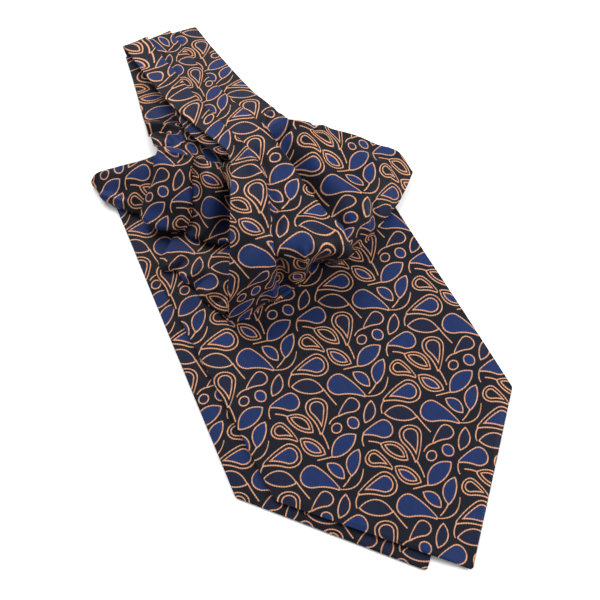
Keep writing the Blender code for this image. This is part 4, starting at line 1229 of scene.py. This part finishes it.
def make_core(name, table, layers):
    """Hidden folded layers: radii read smoothly round twelve angles and up the heights, with a
    half-round bulge for each layer of cloth, closed below and above by rings drawn in."""
    heights = [row[0] for row in table]
    around = np.linspace(0, 2 * math.pi, 181)
    knots = np.arange(-2, 15) * math.pi / 6
    reach = np.array([row[2] for row in table], float)
    reach = np.concatenate([reach[:, -2:], reach, reach[:, :3]], axis=1)
    z = np.linspace(heights[0], heights[-1], layers * 9 + 1)
    radii = smooth(heights, smooth(knots, reach.T, around).T, z)
    middle = smooth(heights, np.array([row[1] for row in table]), z)
    phase = (z - heights[0]) / (heights[-1] - heights[0]) * layers
    wander = 0.35 * np.sin(3 * around) + 0.25 * np.sin(7 * around + 1)
    free = ease(phase, 0, 1) * (1 - ease(phase, layers - 1, layers))
    f = phase[:, None] + wander[None, :] * free[:, None]
    radii = radii - CORE_BULGE * (1 - np.abs(np.sin(np.pi * f)) ** 0.6)
    x = middle[:, :1] + radii * np.cos(around)[None, :]
    y = middle[:, 1:] + radii * np.sin(around)[None, :]
    side = np.dstack([x, y, np.repeat(z[:, None], len(around), axis=1)])
    below = [drawn_in(side[:1], middle[0], share) for share in (0.02, 0.3, 0.6)]
    above = [drawn_in(side[-1:], middle[-1], share, CORE_TOP) for share in (0.75, 0.5, 0.25, 0.02)]
    grid = np.concatenate(below + [side] + above)[:, :-1]
    rows, cols = grid.shape[:2]
    i, j = np.mgrid[0:rows - 1, 0:cols]
    a = i * cols + j
    b = i * cols + (j + 1) % cols
    quads = np.stack([a, b, b + cols, a + cols], axis=-1).reshape(-1, 4)
    run = np.cumsum(np.r_[0, np.abs(np.diff(grid[:, 0, 2])) + 0.8 * np.abs(
        np.diff(np.linalg.norm(grid[:, 0, :2] - middle[0], axis=1)))])
    flat = np.dstack(np.meshgrid(around[:-1] * CORE_REACH, run))
    return mesh_object(name, grid.reshape(-1, 3), quads, flat.reshape(-1, 2))


class CRAVAT_OT_folded_layers(bpy.types.Operator):
    """Make the hidden folded layers under both fans"""
    bl_idname = "cravat.folded_layers"
    bl_label = "Make folded layers"

    def execute(self, context):
        for name, table, layers, node in (
                ("front_layers_silk", FRONT_CORE, 11, "front_core"),
                ("back_layers_silk", BACK_CORE, 5, "back_core")):
            finish_piece(make_core(name, table, layers), node)
        return {"FINISHED"}


# ------------------------------------------------------------------------------------------ stage
def look_angles(away):
    """Turn that points a lamp's -Z back along the direction it was moved away in."""
    flat = math.hypot(away[0], away[1])
    return (math.atan2(flat, away[2]), 0, math.atan2(away[1], away[0]) + math.pi / 2)


def add_object(name, data):
    """New object in the scene."""
    obj = bpy.data.objects.new(name, data)
    bpy.context.scene.collection.objects.link(obj)
    return obj


def make_floor(color):
    """Flat matt floor just under the cravat."""
    mesh = bpy.data.meshes.new("floor")
    corners = ((-1, -1), (1, -1), (1, 1), (-1, 1))
    mesh.from_pydata([(x * FLOOR_HALF, y * FLOOR_HALF, -FLOOR_DROP) for x, y in corners], [],
                     [(0, 1, 2, 3)])
    material = bpy.data.materials.new("pale floor")
    material.use_nodes = True
    shader = material.node_tree.nodes["Principled BSDF"]
    shader.inputs["Base Color"].default_value = (*color, 1)
    shader.inputs["Roughness"].default_value = 0.9
    shader.inputs["Specular IOR Level"].default_value = 0.0
    mesh.materials.append(material)
    add_object("floor", mesh)


def make_sky(strength):
    """White light from all sides."""
    world = bpy.data.worlds.new("soft sky")
    world.use_nodes = True
    background = world.node_tree.nodes["Background"]
    background.inputs[0].default_value = (1, 1, 1, 1)
    background.inputs[1].default_value = strength
    return world


def make_lamp(name, power, place):
    """Square soft light at a place from the camera's aim, turned towards that aim."""
    lamp = bpy.data.lights.new(name, "AREA")
    lamp.energy = power
    lamp.size = LAMP_SIZE
    lamp.shape = "SQUARE"
    obj = add_object(name, lamp)
    obj.location = np.array(CAMERA_AIM) * MM + np.array(place)
    obj.rotation_euler = look_angles(place)


def make_camera():
    """Camera at its distance from the aim, along its turn and its rise above the floor."""
    data = bpy.data.cameras.new("camera")
    data.lens, data.sensor_width = LENS, SENSOR
    data.clip_start, data.clip_end = 0.01, 10
    camera = add_object("camera", data)
    away = np.array([-math.sin(CAMERA_TURN) * math.cos(CAMERA_RISE),
                     -math.cos(CAMERA_TURN) * math.cos(CAMERA_RISE), math.sin(CAMERA_RISE)])
    camera.location = (np.array(CAMERA_AIM) + away * CAMERA_AWAY) * MM
    camera.rotation_euler = (math.pi / 2 - CAMERA_RISE, 0, -CAMERA_TURN)
    return camera


class CRAVAT_OT_stage(bpy.types.Operator):
    """Make the floor, the soft lights and the camera"""
    bl_idname = "cravat.stage"
    bl_label = "Make stage"

    def execute(self, context):
        scene = context.scene
        settings = scene.cravat_stage
        make_floor(settings.floor)
        scene.world = make_sky(settings.sky)
        make_lamp("back light", settings.key, BACK_LIGHT)
        make_lamp("side light", settings.fill, SIDE_LIGHT)
        scene.camera = make_camera()
        scene.view_settings.view_transform = "Standard"
        return {"FINISHED"}


class CRAVAT_PT_panel(bpy.types.Panel):
    bl_label = "Silk Cravat"
    bl_idname = "CRAVAT_PT_panel"
    bl_space_type = "VIEW_3D"
    bl_region_type = "UI"
    bl_category = "Cravat"

    def draw(self, context):
        layout = self.layout
        for group in (context.scene.cravat_silk, context.scene.cravat_stage):
            box = layout.box()
            for key in group.__annotations__:
                box.prop(group, key)
        for name in STEPS:
            layout.operator("cravat." + name)


STEPS = ("blades", "front_fan", "back_fan", "neckband", "folded_layers", "stage")
CLASSES = (CravatSilk, CravatStage, CRAVAT_OT_blades, CRAVAT_OT_front_fan, CRAVAT_OT_back_fan,
           CRAVAT_OT_neckband, CRAVAT_OT_folded_layers, CRAVAT_OT_stage, CRAVAT_PT_panel)


def register():
    for cls in CLASSES:
        bpy.utils.register_class(cls)
    bpy.types.Scene.cravat_silk = bpy.props.PointerProperty(type=CravatSilk)
    bpy.types.Scene.cravat_stage = bpy.props.PointerProperty(type=CravatStage)


def unregister():
    del bpy.types.Scene.cravat_silk
    del bpy.types.Scene.cravat_stage
    for cls in reversed(CLASSES):
        bpy.utils.unregister_class(cls)


def main():
    register()
    for name in STEPS:
        getattr(bpy.ops.cravat, name)()


if __name__ == "__main__":
    main()
